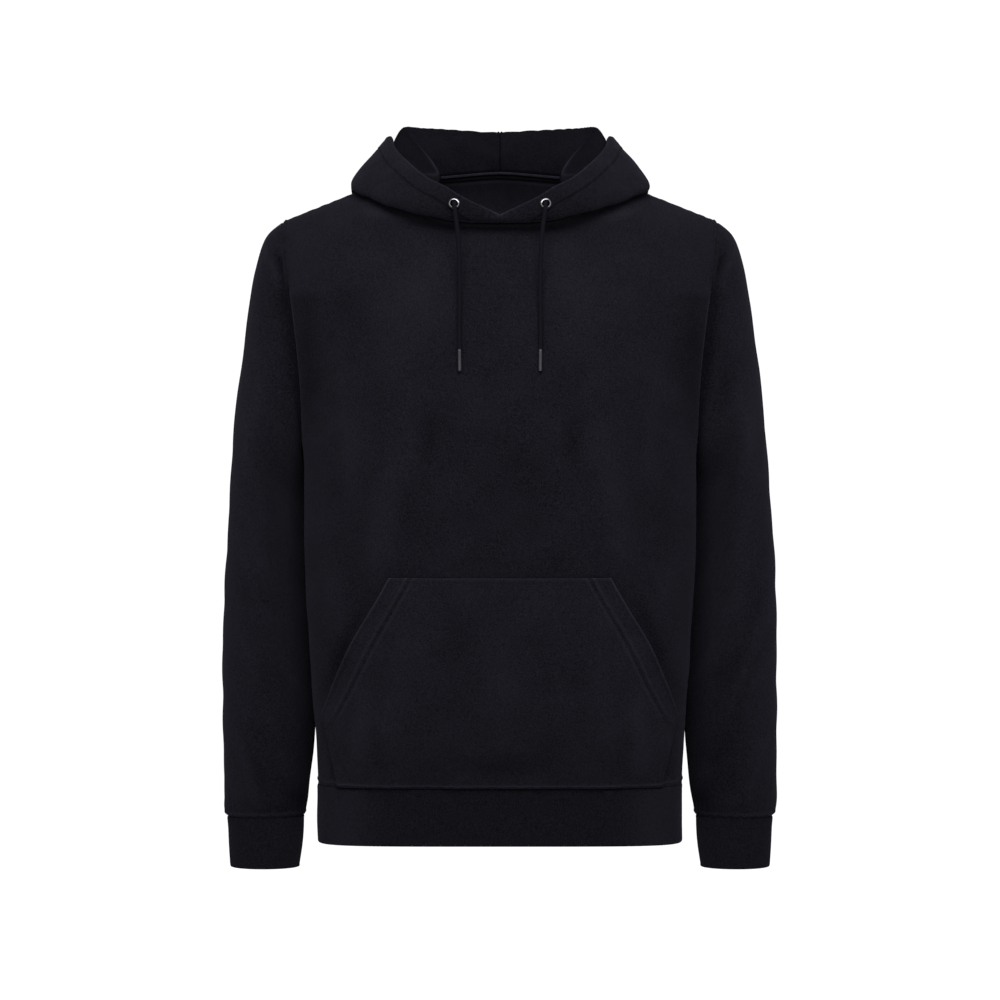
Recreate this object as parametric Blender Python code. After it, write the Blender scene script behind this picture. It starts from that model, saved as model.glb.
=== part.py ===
"""A pullover hoodie, filled out as it is when worn and empty inside.

Its front faces -Y and the wearer's left is +X. The origin lies between the wearer's shoulders, level
with the side neck, where the garment hangs from them. Sizes are in millimetres up to make_object,
which turns them into metres. Every cloth piece is a wall whose middle surface is worked out here:
the two body panels are one rounded trunk that closes over the shoulders, each sleeve runs from the
armhole down to its cuff, and the hood is thrown back, folded over itself round the neck.
"""

import math

import bmesh
import bpy
import numpy as np

MM = 0.001

# Walls and seams.
FLEECE_WALL = 2.2
RIB_WALL = 3.0
HOOD_WALL = 3.2
TAPE_WALL = 1.0
SEAM_GAP = 0.3
HOOD_REST_GAP = 2.0

# How finely the pieces are divided.
PANEL_LEVELS = 10
PANEL_SCOOP = 3
PANEL_YOKE = 8
NECK_COLUMNS = 7
SIDE_COLUMNS = 7
ARMHOLE_ROWS = PANEL_SCOOP + PANEL_YOKE + 1
SLEEVE_RINGS = 20
CUFF_RINGS = 3
CUFF_AROUND = 22
BAND_AROUND = 12
POCKET_ROWS = 9
POCKET_COLUMNS = 18
HOOD_AROUND = 22
HOOD_STEPS = (2, 3, 3, 4, 3, 6, 2)
DENSE = 45

# The trunk.
HEM_Z = -688.0
BAND_SEAM_Z = -629.0
ARMPIT_Z = -278.0
ARMHOLE_MIDDLE_Z = -160.0
CHEST_Z = -200.0
SHOULDER_POINT_Z = -53.5
SIDE_NECK_Z = -4.1
SHOULDER_SLOPE = 0.397
YOKE_ROUNDNESS = 2.2

# The neckline.
NECK_HALF = 100.0
FRONT_NECK_Z = -62.3
BACK_NECK_REACH = 40.0
NECK_ROUNDNESS = 3.0
BACK_NECK_ROUNDNESS = 2.3
NECK_CAP = 1.7

# The pocket.
POCKET_TOP_Z = -417.5
POCKET_BOTTOM_Z = -628.5
POCKET_PUFF = 12.0
POCKET_SIDE_LIFT = 0.7
POCKET_SIDE_CLOSING = 0.75

# The drawcord and its fittings.
EYELET_AT = 0.165
EYELET_UP = 0.80
EYELET_RING = 4.6
EYELET_WIRE = 1.35
TAPE_HALF_WIDTH = 80.0
TAPE_DROPS = (0.8, 4.5, 8.5)
CORD_WIDTH = 4.4
CORD_POINTS = 27
CORD_CROWDING = 1.8
TIP_WIDTH = 3.9
TIP_LENGTH = 22.0

FRONT = -1
BACK = 1


class Table:
    """Rows of sizes under named columns, read on a smooth curve. The first column is looked up."""

    def __init__(self, columns, *rows):
        self.columns = columns.split()
        self.rows = np.array(rows, float)
        order = np.argsort(self.rows[:, 0])
        self.rows = self.rows[order]

    def __call__(self, column, at):
        return float(smooth(self.rows[:, 0], self.rows[:, self.columns.index(column)], at))


def smooth(knots, values, at):
    """The value at `at` on a cubic curve through the values, which are numbers or points."""
    knots = np.asarray(knots, float)
    values = np.asarray(values, float)
    steps = np.diff(knots)
    shape = (-1,) + (1,) * (values.ndim - 1)
    slopes = np.diff(values, axis=0) / steps.reshape(shape)
    tangents = np.empty_like(values)
    tangents[0], tangents[-1] = slopes[0], slopes[-1]
    before, after = steps[:-1].reshape(shape), steps[1:].reshape(shape)
    tangents[1:-1] = (slopes[:-1] * after + slopes[1:] * before) / (before + after)
    span = int(np.clip(np.searchsorted(knots, at) - 1, 0, len(steps) - 1))
    step = steps[span]
    t = (np.clip(at, knots[0], knots[-1]) - knots[span]) / step
    return (
        values[span] * (2 * t**3 - 3 * t**2 + 1)
        + values[span + 1] * (3 * t**2 - 2 * t**3)
        + tangents[span] * step * (t**3 - 2 * t**2 + t)
        + tangents[span + 1] * step * (t**3 - t**2)
    )


def ease(t):
    """0 to 1 with a soft start and end."""
    t = min(max(t, 0.0), 1.0)
    return t * t * (3 - 2 * t)


def along(points, shares):
    """The points at these shares of a polyline's length."""
    points = np.asarray(points, float)
    run = np.concatenate([[0], np.cumsum(np.linalg.norm(np.diff(points, axis=0), axis=1))])
    return np.stack([np.interp(np.asarray(shares) * run[-1], run, points[:, i]) for i in range(3)], 1)


# ---------------------------------------------------------------- the trunk

# A row is a level cut through the body: half its width, how far its front and back stand from the
# side seams, how square it is, and where the side seams lie.
TRUNK = Table(
    "z half front back square seam_y",
    (-688, 184.7, 69, 63, 4.8, 0),
    (-629, 185.2, 73, 67, 4.3, 0),
    (-590, 187.3, 83, 74, 3.6, 0),
    (-520, 192.3, 95, 83, 3.0, 0),
    (-402, 200.0, 107, 90, 2.5, 2),
    (-278, 203.0, 113, 97, 2.4, 6),
    (-240, 208.3, 114, 99, 2.4, 8),
    (-200, 214.5, 114, 100, 2.4, 9),
    (-160, 221.0, 114, 100, 2.4, 10),
    (-120, 227.0, 113, 100, 2.3, 11),
    (-54, 238.0, 111, 100, 2.3, 12),
    (40, 250.0, 108, 98, 2.3, 12),
)

# How far the armhole seam lies from the middle, at each height.
ARMHOLE = Table(
    "z across",
    (-278, 203.0),
    (-240, 202.5),
    (-200, 205.0),
    (-160, 209.5),
    (-120, 215.5),
    (-53.5, 224.0),
    (-20, 229.0),
)


def shoulder_z(across):
    """The height of the shoulder seam, and of the soft cap that carries it on over the neck."""
    share = min(1.0, abs(across) / NECK_HALF)
    cap = NECK_HALF * (1 - share**NECK_CAP) / NECK_CAP
    return SIDE_NECK_Z + SHOULDER_SLOPE * (cap - max(0.0, abs(across) - NECK_HALF))


def yoke_closing(across, z):
    """How much of the chest's depth is left above it: 1 at the chest, 0 at the shoulder seam."""
    if z <= CHEST_Z:
        return 1.0
    rise = min(1.0, (z - CHEST_Z) / (shoulder_z(across) - CHEST_Z))
    return (1 - rise**YOKE_ROUNDNESS) ** (1 / YOKE_ROUNDNESS)


def side_depth(across, z, side):
    """How far the body stands in front of its side seam, or behind it, below where its top closes in."""
    square = TRUNK("square", z)
    share = min(1.0, abs(across) / TRUNK("half", z))
    return TRUNK("front" if side == FRONT else "back", z) * (1 - share**square) ** (1 / square)


# The soft folds that hang down the body: where each starts and ends, how wide it is and how far it stands
# out. A negative height is a trough.
FOLDS = {
    FRONT: (
        ((118, -95), (112, -400), 26, 3.5),
        ((156, -215), (143, -560), 17, -3.0),
        ((-120, -90), (-110, -420), 25, 3.2),
        ((-153, -230), (-146, -545), 18, -3.2),
        ((12, -300), (-20, -420), 30, -1.6),
    ),
    BACK: (
        ((70, -290), (88, -590), 28, 3.6),
        ((128, -170), (112, -480), 22, -3.4),
        ((-82, -310), (-70, -600), 26, 3.8),
        ((-130, -160), (-122, -510), 23, -3.0),
        ((4, -330), (16, -560), 30, -2.6),
    ),
}


def fold_height(across, z, side):
    """How far the folds move the surface out at this place."""
    total = 0.0
    for start, end, width, height in FOLDS[side]:
        share = (start[1] - z) / (start[1] - end[1])
        if not 0 < share < 1:
            continue
        middle = start[0] + (end[0] - start[0]) * share
        total += height * math.sin(math.pi * share) ** 1.3 * math.exp(-(((across - middle) / width) ** 2))
    return total


def trunk_point(across, z, side):
    """The point of the front or back panel's middle surface at this place."""
    depth = side_depth(across, z, side)
    depth += fold_height(across, z, side) * ease(depth / 70)
    return np.array([across, TRUNK("seam_y", z) + side * depth * yoke_closing(across, z), z])


def neckline_z(across, side):
    """The height of the front or back neckline. The back one is an oval from above, nearly level."""
    share = min(1.0, abs(across) / NECK_HALF)
    if side == FRONT:
        bow = (1 - share**NECK_ROUNDNESS) ** (1 / NECK_ROUNDNESS)
        return FRONT_NECK_Z + (SIDE_NECK_Z - FRONT_NECK_Z) * (1 - bow)
    reach = BACK_NECK_REACH * (1 - share**BACK_NECK_ROUNDNESS) ** (1 / BACK_NECK_ROUNDNESS)
    left = reach / side_depth(across, 0, BACK)
    return CHEST_Z + (shoulder_z(across) - CHEST_Z) * (1 - left**YOKE_ROUNDNESS) ** (1 / YOKE_ROUNDNESS)


def yoke_turn(across, side):
    """How far round its closing the panel reaches: a quarter turn at the shoulder seam, less at the neck."""
    if across >= NECK_HALF:
        return math.pi / 2
    top = (neckline_z(across, side) - CHEST_Z) / (shoulder_z(across) - CHEST_Z)
    return math.asin(min(1.0, top) ** (YOKE_ROUNDNESS / 2))


def yoke_z(across, share, side):
    """The height of a row of the panel's top part, from 0 at the chest to 1 on the shoulder or neckline."""
    low = yoke_turn(0, side)
    gentle = low + (math.pi / 2 - low) * ease(across / ARMHOLE("across", SHOULDER_POINT_Z))
    turn = share * (gentle + (yoke_turn(across, side) - gentle) * share**4)
    return CHEST_Z + (shoulder_z(across) - CHEST_Z) * math.sin(turn) ** (2 / YOKE_ROUNDNESS)


def yoke_end(share, side):
    """How far across the panel's edge lies on this row of its top part."""
    across = ARMHOLE("across", CHEST_Z)
    for _ in range(12):
        across = ARMHOLE("across", yoke_z(across, share, side))
    return across


def level_row(z, side):
    """A dense row of points from the middle of the panel to its edge, at one height."""
    half, square = TRUNK("half", z), TRUNK("square", z)
    end = min(1.0, ARMHOLE("across", z) / half) if z > ARMPIT_Z else 1.0
    last = math.asin(end ** (square / 2))
    turns = np.linspace(0, last, 2 * DENSE)
    return [trunk_point(half * math.sin(t) ** (2 / square), z, side) for t in turns]


def neck_across():
    """Places across half the neckline, closer together where it climbs to the shoulder."""
    return [NECK_HALF * math.sin(t) ** (2 / NECK_ROUNDNESS) for t in np.linspace(0, math.pi / 2, DENSE)]


def yoke_row(share, side):
    """The same on a row of the top part: first below the neckline, then below the shoulder seam."""
    rest = np.linspace(NECK_HALF, yoke_end(share, side), DENSE)[1:]
    return [trunk_point(x, yoke_z(x, share, side), side) for x in [*neck_across(), *rest]]


def trunk_rows(side, levels, scoop, yoke, neck_columns, side_columns):
    """The panel's half grid, from the band seam up: rows of points from the middle to the edge."""
    columns = neck_columns + side_columns
    even = np.linspace(0, 1, columns + 1)
    dense_rows = [level_row(z, side) for z in np.linspace(BAND_SEAM_Z, ARMPIT_Z, levels + 1)]
    shares = np.linspace(0, 1, scoop + 1)[1:] ** 1.7
    dense_rows += [level_row(ARMPIT_Z + (CHEST_Z - ARMPIT_Z) * s, side) for s in shares]
    dense_rows += [yoke_row(s, side) for s in np.linspace(0, 1, yoke + 1)[1:]]
    run = np.concatenate([[0], np.cumsum(np.linalg.norm(np.diff(dense_rows[-1], axis=0), axis=1))])
    neck = np.linspace(0, run[DENSE - 1] / run[-1], neck_columns + 1)
    wanted = np.concatenate([neck, np.linspace(neck[-1], 1, side_columns + 1)[1:]])
    rows, last = [], len(dense_rows) - 1
    for index, dense in enumerate(dense_rows):
        pull = ease((index - levels * 0.4) / (last - levels * 0.4))
        rows.append(along(dense, even + (wanted - even) * pull))
    return np.array(rows)


# ---------------------------------------------------------------- the sleeves

# A row is a ring round the sleeve, from the armhole to the cuff: its outer and its inner point, how far
# it lies behind the side seam, half its depth, how far it is turned to lie along the body, and how far
# its shape has gone from the armhole's to a plain tube's.
SLEEVE = Table(
    "ring outer_x outer_z inner_x inner_z back depth turn tube",
    (0, 224.0, -53.5, 203.3, -278.0, 8, 50, 0, 0.0),
    (1, 240.5, -68.5, 204.5, -284.0, 12, 51, 3, 0.12),
    (2, 250.5, -95.0, 204.8, -294.0, 17, 54, 6, 0.32),
    (3, 258.0, -130.0, 204.5, -307.0, 21, 58, 9, 0.6),
    (4, 263.7, -172.0, 204.2, -323.0, 24, 61, 12, 0.82),
    (5, 269.0, -216.0, 203.8, -343.0, 27, 63, 14, 0.95),
    (6, 273.6, -265.0, 203.0, -369.0, 29, 63, 16, 1.0),
    (7, 277.6, -321.0, 201.5, -400.0, 31, 61, 17, 1.0),
    (8, 281.6, -382.0, 200.0, -435.0, 32, 58, 17, 1.0),
    (9, 284.6, -441.0, 197.0, -472.0, 33, 55, 16, 1.0),
    (10, 286.2, -498.0, 194.5, -515.0, 32, 51, 14, 1.0),
    (11, 286.8, -556.0, 193.5, -562.0, 29, 47, 10, 1.0),
    (12, 286.5, -602.0, 195.5, -603.0, 26, 42, 6, 1.0),
    (13, 285.8, -641.0, 200.0, -641.0, 23, 36, 3, 1.0),
    (14, 284.9, -659.0, 202.7, -659.0, 21, 31, 1, 1.0),
    (15, 281.6, -666.0, 204.6, -666.0, 20, 27, 0, 1.0),
)

# The same for the cuff, from its seam to its open end.
CUFF = Table(
    "ring outer_x outer_z inner_x inner_z back depth",
    (0, 281.4, -667.4, 204.8, -667.4, 20, 27),
    (1, 280.6, -680.0, 205.2, -680.0, 20, 27),
    (2, 279.6, -700.0, 207.0, -700.0, 19, 26),
    (3, 278.2, -720.0, 209.4, -720.0, 18, 24),
)


# How far above the armpit the sleeve begins to lie beside the body, and how much of a gap across the body
# is left square to its slanting side.
SLEEVE_TURN = 4.0
SLANT = 0.95


def armhole_point(angle):
    """The point of the armhole at this angle, 0 at the shoulder point and half a turn at the armpit."""
    middle, half = (SHOULDER_POINT_Z + ARMPIT_Z) / 2, (SHOULDER_POINT_Z - ARMPIT_Z) / 2
    z = middle + half * math.cos(angle)
    return trunk_point(ARMHOLE("across", z), z, FRONT if math.sin(angle) > 0 else BACK)


def tube_ring(outer, inner, back, depth, turn, angles):
    """An oval ring through an outer and an inner point, turned about its own middle."""
    outer, inner = np.array([outer[0], back, outer[1]]), np.array([inner[0], back, inner[1]])
    middle, reach = (outer + inner) / 2, (outer - inner) / 2
    front = depth * np.array([math.sin(math.radians(turn)), -math.cos(math.radians(turn)), 0])
    reach = reach * (1 - (front[0] / reach[0]) ** 2) ** 0.5
    return np.array([middle + reach * math.cos(a) + front * math.sin(a) for a in angles])


def armhole_angles(panels):
    """The angles round the armhole at which the panels have points."""
    middle, half = (SHOULDER_POINT_Z + ARMPIT_Z) / 2, (SHOULDER_POINT_Z - ARMPIT_Z) / 2
    edges = (grid[-ARMHOLE_ROWS:, -1, 2] for grid in panels.values())
    front, back = (np.arccos(np.clip((edge - middle) / half, -1, 1)) for edge in edges)
    return np.concatenate([front[::-1], 2 * math.pi - back[1:-1]])


def sleeve_grid(angles):
    """The left sleeve: rings of points from the armhole to the cuff seam."""
    shoulder, armpit = armhole_point(0), armhole_point(math.pi)
    line = np.array([(shoulder + armpit) / 2 + (shoulder - armpit) / 2 * math.cos(a) for a in angles])
    hole = np.array([armhole_point(a) for a in angles]) - line
    seam_y = TRUNK("seam_y", ARMHOLE_MIDDLE_Z)
    grid = []
    for ring in np.linspace(0, SLEEVE.rows[-1, 0], SLEEVE_RINGS + 1):
        row = {c: SLEEVE(c, ring) for c in SLEEVE.columns[1:]}
        outer, inner = (row["outer_x"], row["outer_z"]), (row["inner_x"], row["inner_z"])
        tube = tube_ring(outer, inner, row["back"], row["depth"], row["turn"], angles)
        plain = tube_ring(outer, inner, row["back"], 0, 0, angles)
        middle_y = row["back"] + (seam_y - row["back"]) * (1 - row["tube"])
        plain[:, 1] = middle_y
        from_hole = plain + hole
        from_hole[:, 1] = middle_y + hole[:, 1] + line[:, 1] - seam_y
        grid.append(from_hole + (tube - from_hole) * min(max(row["tube"], 0), 1))
    return np.array(grid)


def cuff_grid():
    """The left cuff: rings of points from its seam to its open end."""
    angles = np.linspace(0, 2 * math.pi, CUFF_AROUND + 1)[:-1]
    grid = []
    for ring in np.linspace(0, CUFF.rows[-1, 0], CUFF_RINGS + 1):
        row = {c: CUFF(c, ring) for c in CUFF.columns[1:]}
        outer, inner = (row["outer_x"], row["outer_z"]), (row["inner_x"], row["inner_z"])
        grid.append(tube_ring(outer, inner, row["back"], row["depth"], 0, angles))
    return np.array(grid)


# ---------------------------------------------------------------- the hood

# A row is a cut through the left half of the hood, at a share of the neck seam from the front middle to
# the back middle. Its points, from the seam on, are: fold, ridge, fall, low, then bulge, crest, edge. The
# cloth leans into the neck to its fold, rises to the ridge, falls behind it to a low fold on the shoulder
# or the back, turns up over a bulge and a crest, and ends at the opening's edge.
HOOD = (
    (
        0.00, (0, -84.5, -59.3), (0, -87, -57.8), (0, -90.5, -59.5), (0, -94.5, -63),
        (0, -98.5, -62), (0, -99.8, -59.5), (0, -98.8, -57.3),
    ),
    (
        0.12, (35, -84, -58), (35, -87, -55.5), (35, -91, -57), (35.5, -96, -61),
        (36, -99.5, -56.5), (36, -97.5, -47), (36.5, -92, -39.5),
    ),
    (
        0.22, (59, -79, -53), (59.5, -83, -50), (60, -88, -52.5), (59, -96, -58.5),
        (58, -99, -51), (56, -94, -37), (54, -86, -28),
    ),
    (
        0.33, (77, -65, -43), (79, -70, -37), (84, -77, -42), (88, -86, -51.5),
        (88, -88, -42), (81, -80, -25), (73, -72, -17),
    ),
    (
        0.43, (74, -38, -27), (92, -44, -14), (104, -52, -28), (119, -58, -39.5),
        (121, -59, -28), (106, -53, -4), (92, -47, 1),
    ),
    (
        0.50, (62, -10, -12), (103, -16, 7), (121, -20, -8), (143, -25, -25),
        (148, -24, -14), (116, -16, 22.5), (108, -15, 19),
    ),
    (
        0.56, (67, 14, 2), (107, 12, 18), (122, 12, 3), (145, 12, -19),
        (151, 12, -10), (118.5, 16, 32), (111.5, 14, 32.5),
    ),
    (
        0.64, (77, 37, 18), (107, 44, 37), (119, 50, 10), (145, 52, -38),
        (149, 56, -24), (122, 52, 31), (116, 48, 36.5),
    ),
    (
        0.71, (97, 66, 40), (104, 86, 54), (109, 95, 22), (141, 92, -85),
        (147, 105, -70), (118, 106, 22), (111.5, 102, 34.5),
    ),
    (
        0.80, (80, 70, 34), (80, 90, 54.5), (84, 103, 15), (112, 112, -140),
        (116, 133, -128), (92, 130, 18), (84, 124, 32),
    ),
    (
        0.90, (40, 73, 30), (41, 95, 53.2), (43, 106, 8), (60, 117, -172),
        (61, 140, -165), (47, 144, 8), (43, 135, 30),
    ),
    (
        1.00, (0, 74, 28), (0, 96, 51.5), (0, 108, 5), (0, 118, -184),
        (0, 143, -178), (0, 148, 5), (0, 139, 29),
    ),
)
FLIP = np.array([-1.0, 1.0, 1.0])
HOOD_CLEAR = FLEECE_WALL / 2 + HOOD_WALL / 2 + HOOD_REST_GAP
HOOD_NEAR = 30.0
GUIDES = 8


def neck_seam(share):
    """The point of the neck seam at a share of its way from the front middle to the back middle."""
    return along(NECK_SEAM, [share])[0]


def neck_edge():
    """The left half of the neckline's edge, front middle to back middle."""
    front = [trunk_point(x, yoke_z(x, 1, FRONT), FRONT) for x in neck_across()]
    back = [trunk_point(x, yoke_z(x, 1, BACK), BACK) for x in neck_across()]
    return np.array(front + back[-2::-1])


NECK_SEAM = neck_edge()


def body_samples():
    """(points, outward directions) set closely over the top of both panels, for the hood to be laid on."""
    points, facings = [], []
    levels = 4
    for side in (FRONT, BACK):
        rows = both_halves(trunk_rows(side, levels, scoop=16, yoke=44, neck_columns=22, side_columns=28))
        top = rows[levels + 1 :]
        points.append(top.reshape(-1, 3))
        facings.append(outward(top).reshape(-1, 3))
    return np.concatenate(points), np.concatenate(facings)


def off_the_body(column, samples):
    """The points moved out of the body, where they are nearer its surface than a resting hood is."""
    points, facings = samples
    column = column.copy()
    for i, point in enumerate(column):
        near = np.argmin(((points - point) ** 2).sum(1))
        short = HOOD_CLEAR - (point - points[near]) @ facings[near]
        if 0 < short < HOOD_NEAR:
            column[i] = point + facings[near] * short
    return column


def hood_guides():
    """(shares, guide points) of the hood's rows, carried on past both middles so that its two halves run
    smoothly together. Only the crest and the edge meet at a point in front."""
    shares = [row[0] for row in HOOD]
    guides = [[neck_seam(row[0]), *(np.array(p, float) for p in row[1:])] for row in HOOD]
    crest = GUIDES - 2
    before = [guides[1][i] * FLIP if i < crest else 2 * guides[0][i] - guides[1][i] for i in range(GUIDES)]
    after = [point * FLIP for point in guides[-2]]
    return np.array([-shares[1], *shares, 2 - shares[-2]]), np.array([before, *guides, after])


def hood_point(share, up):
    """The hood's middle surface at a share of the neck seam, and at a share of the way from seam to edge."""
    shares, guides = hood_guides()
    return smooth(np.arange(GUIDES), smooth(shares, guides, share), up * (GUIDES - 1))


def hood_grid():
    """The left half of the hood: columns from the front middle to the back middle, each from seam to edge."""
    shares, guides = hood_guides()
    samples = body_samples()
    ups = np.concatenate([[0], *(i + np.arange(1, n + 1) / n for i, n in enumerate(HOOD_STEPS))])
    grid = []
    for share in np.interp(np.linspace(0, 1, HOOD_AROUND + 1), [0, 0.25, 0.62, 1], [0, 0.26, 0.68, 1]):
        guide = smooth(shares, guides, share)
        column = np.array([smooth(np.arange(GUIDES), guide, up) for up in ups])
        column[0] = neck_seam(share)
        lying = HOOD_STEPS[0] + 3
        column[lying:] = off_the_body(column[lying:], samples)
        grid.append(column)
    return np.array(grid)


# ---------------------------------------------------------------- meshes

def normals(grid, closed):
    """The unit normal at each point of a grid of rows. closed says that each row runs round to its start."""
    down = np.gradient(grid, axis=0)
    if closed:
        across = np.roll(grid, -1, axis=1) - np.roll(grid, 1, axis=1)
    else:
        across = np.gradient(grid, axis=1)
    found = np.cross(across, down)
    return found / np.maximum(np.linalg.norm(found, axis=2), 1e-9)[:, :, None]


def outward(grid):
    """The unit directions out of the body at each point of a grid on one of its panels."""
    out = normals(grid, False)
    middle = grid.shape[1] // 2
    return out * np.sign(out[0, middle, 1] * grid[0, middle, 1])


def wall(grid, thickness, closed=False, flat_ends=False):
    """(points, faces) of a closed wall on a grid. closed says that its rows are rings; flat_ends keeps the
    first and last rows in their own plane of constant X."""
    out = normals(grid, closed)
    if flat_ends:
        for row in (0, -1):
            out[row, :, 0] = 0
            out[row] /= np.linalg.norm(out[row], axis=1)[:, None]
    rows, columns = grid.shape[:2]
    half = out * thickness / 2
    points = np.concatenate([(grid + half).reshape(-1, 3), (grid - half).reshape(-1, 3)])
    inner = rows * columns
    faces = []
    last = columns if closed else columns - 1
    for r in range(rows - 1):
        for c in range(last):
            a, b = r * columns + c, r * columns + (c + 1) % columns
            d, e = a + columns, b + columns
            faces += [(a, b, e, d), (inner + a, inner + d, inner + e, inner + b)]
    for c in range(last):
        a, b = c, (c + 1) % columns
        faces.append((a, inner + a, inner + b, b))
        a, b = (rows - 1) * columns + a, (rows - 1) * columns + b
        faces.append((a, b, inner + b, inner + a))
    if not closed:
        for r in range(rows - 1):
            a, b = r * columns, (r + 1) * columns
            faces.append((a, b, inner + b, inner + a))
            a, b = a + columns - 1, b + columns - 1
            faces.append((a, inner + a, inner + b, b))
    return points, faces


def make_object(name, points, faces, material):
    """An object from points in millimetres, with its faces turned outwards."""
    mesh = bpy.data.meshes.new(name)
    mesh.from_pydata([tuple(p) for p in np.asarray(points) * MM], [], faces)
    shell = bmesh.new()
    shell.from_mesh(mesh)
    bmesh.ops.recalc_face_normals(shell, faces=shell.faces)
    shell.to_mesh(mesh)
    shell.free()
    mesh.shade_smooth()
    mesh.set_sharp_from_angle(angle=math.radians(50))
    mesh.materials.append(material)
    made = bpy.data.objects.new(name, mesh)
    bpy.context.scene.collection.objects.link(made)
    return made


def make_pair(name, points, faces, material):
    """The piece on the wearer's left and its mirror image on the right."""
    make_object(f"{name}_left", points, faces, material)
    mirrored = np.asarray(points) * (-1, 1, 1)
    make_object(f"{name}_right", mirrored, faces, material)


def make_material(name, colour, roughness, metallic=0.0):
    """A Principled BSDF finish."""
    material = bpy.data.materials.new(name)
    material.use_nodes = True
    shader = material.node_tree.nodes["Principled BSDF"]
    shader.inputs["Base Color"].default_value = (*colour, 1)
    shader.inputs["Roughness"].default_value = roughness
    shader.inputs["Metallic"].default_value = metallic
    return material


def both_halves(rows):
    """A panel's half grid with its mirror image."""
    return np.concatenate([rows[:, :0:-1] * (-1, 1, 1), rows], axis=1)


def seam_start(edge, facing, grid_row, closed, wall_here):
    """Where a wall starts at a seam: as near the seam's edge as its turn away from the panel lets it be."""
    run = np.roll(edge, -1, 0) - np.roll(edge, 1, 0) if closed else np.gradient(edge, axis=0)
    onward = unit(np.cross(facing, unit(run)))
    away = unit(grid_row - edge)
    flip = np.sign((onward * (edge.mean(0) - edge)).sum(1))
    onward = onward * flip[:, None]
    bend = np.arccos(np.clip((onward * away).sum(1), -1, 1))
    reach = (FLEECE_WALL + wall_here) / 2
    gentle = away * (SEAM_GAP + reach * np.tan(np.minimum(bend, math.pi / 2) / 2))[:, None]
    outside = np.where((facing * away).sum(1) < 0, -1, 1)[:, None]
    sharp = facing * outside * (reach + SEAM_GAP) + onward * SEAM_GAP
    share = np.clip((bend - math.radians(75)) / math.radians(30), 0, 1)[:, None]
    return edge + gentle * (1 - share) + sharp * share


def facing_near(points, edges, facings):
    """The panels' outward directions near these seam points."""
    found = []
    for point in points:
        weight = 1 / (((edges - point) ** 2).sum(1) + 9.0) ** 2
        found.append(unit((facings * weight[:, None]).sum(0)))
    return np.array(found)


def pulled_in(grid):
    """The grid with all its edges moved in along the surface, to leave a seam's gap."""
    grid = grid.copy()
    grid[0] += unit(grid[1] - grid[0]) * SEAM_GAP
    grid[-1] += unit(grid[-2] - grid[-1]) * SEAM_GAP
    grid[:, 0] += unit(grid[:, 1] - grid[:, 0]) * SEAM_GAP
    grid[:, -1] += unit(grid[:, -2] - grid[:, -1]) * SEAM_GAP
    return grid


def unit(vectors):
    """The vectors at length 1."""
    return vectors / np.linalg.norm(vectors, axis=-1)[..., None]


# ---------------------------------------------------------------- the pieces

def panel_grid(side):
    """A panel's middle surface, from its band seam up."""
    return both_halves(trunk_rows(side, PANEL_LEVELS, PANEL_SCOOP, PANEL_YOKE, NECK_COLUMNS, SIDE_COLUMNS))


def build_panels(panels, fleece):
    """The front and the back."""
    for name, grid in panels.items():
        make_object(name, *wall(pulled_in(grid), FLEECE_WALL), fleece)


def panel_edges(panels, along_top):
    """(points, outward directions) of both panels' edges: round the left armhole, or along the neckline."""
    points, facings = [], []
    for grid in panels.values():
        out = outward(grid)
        part = (slice(-1, None), slice(None)) if along_top else (slice(None), slice(-1, None))
        points.append(grid[part].reshape(-1, 3))
        facings.append(out[part].reshape(-1, 3))
    return np.concatenate(points), np.concatenate(facings)


def clear_of_trunk(point):
    """The point moved outwards, if it is less than a seam's gap from the body's side."""
    x, y, z = point
    if z > ARMPIT_Z + SLEEVE_TURN:
        return point
    side = FRONT if y < TRUNK("seam_y", z) else BACK
    square = TRUNK("square", z)
    share = min(1.0, abs(y - TRUNK("seam_y", z)) / TRUNK("front" if side == FRONT else "back", z))
    least = TRUNK("half", z) * (1 - share**square) ** (1 / square) + (FLEECE_WALL + SEAM_GAP) / SLANT
    return np.array([max(x, least), y, z])


def build_sleeves(panels, fleece, rib):
    """The sleeves and their cuffs."""
    angles = armhole_angles(panels)
    grid = sleeve_grid(angles)
    for ring in grid[1:]:
        ring[:] = [clear_of_trunk(point) for point in ring]
    edge = np.array([armhole_point(a) for a in angles])
    facing = facing_near(edge, *panel_edges(panels, along_top=False))
    grid[0] = seam_start(edge, facing, grid[1], True, FLEECE_WALL)
    make_pair("sleeve", *wall(grid, FLEECE_WALL, closed=True), fleece)
    make_pair("cuff", *wall(cuff_grid(), RIB_WALL, closed=True), rib)


def build_band(rib):
    """The waistband, a doubled ring of rib."""
    grid = []
    for z in (BAND_SEAM_Z - SEAM_GAP, -645.0, -668.0, HEM_Z):
        shares = np.linspace(0, 1, BAND_AROUND + 1)
        front, back = along(level_row(z, FRONT), shares), along(level_row(z, BACK), shares)
        left = np.concatenate([front, back[-2::-1]])
        right = left[-2:0:-1] * (-1, 1, 1)
        grid.append(np.concatenate([left, right]))
    make_object("hem_band", *wall(np.array(grid), RIB_WALL, closed=True), rib)


POCKET = Table("z across", (-628.5, 162.5), (-556, 175.5), (-417.5, 109.5))


def pocket_half_width(z):
    """How far the pocket's edge lies from the middle: a short upright side, then the slanted hand opening."""
    return float(np.interp(z, POCKET.rows[:, 0], POCKET.rows[:, 1]))


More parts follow.
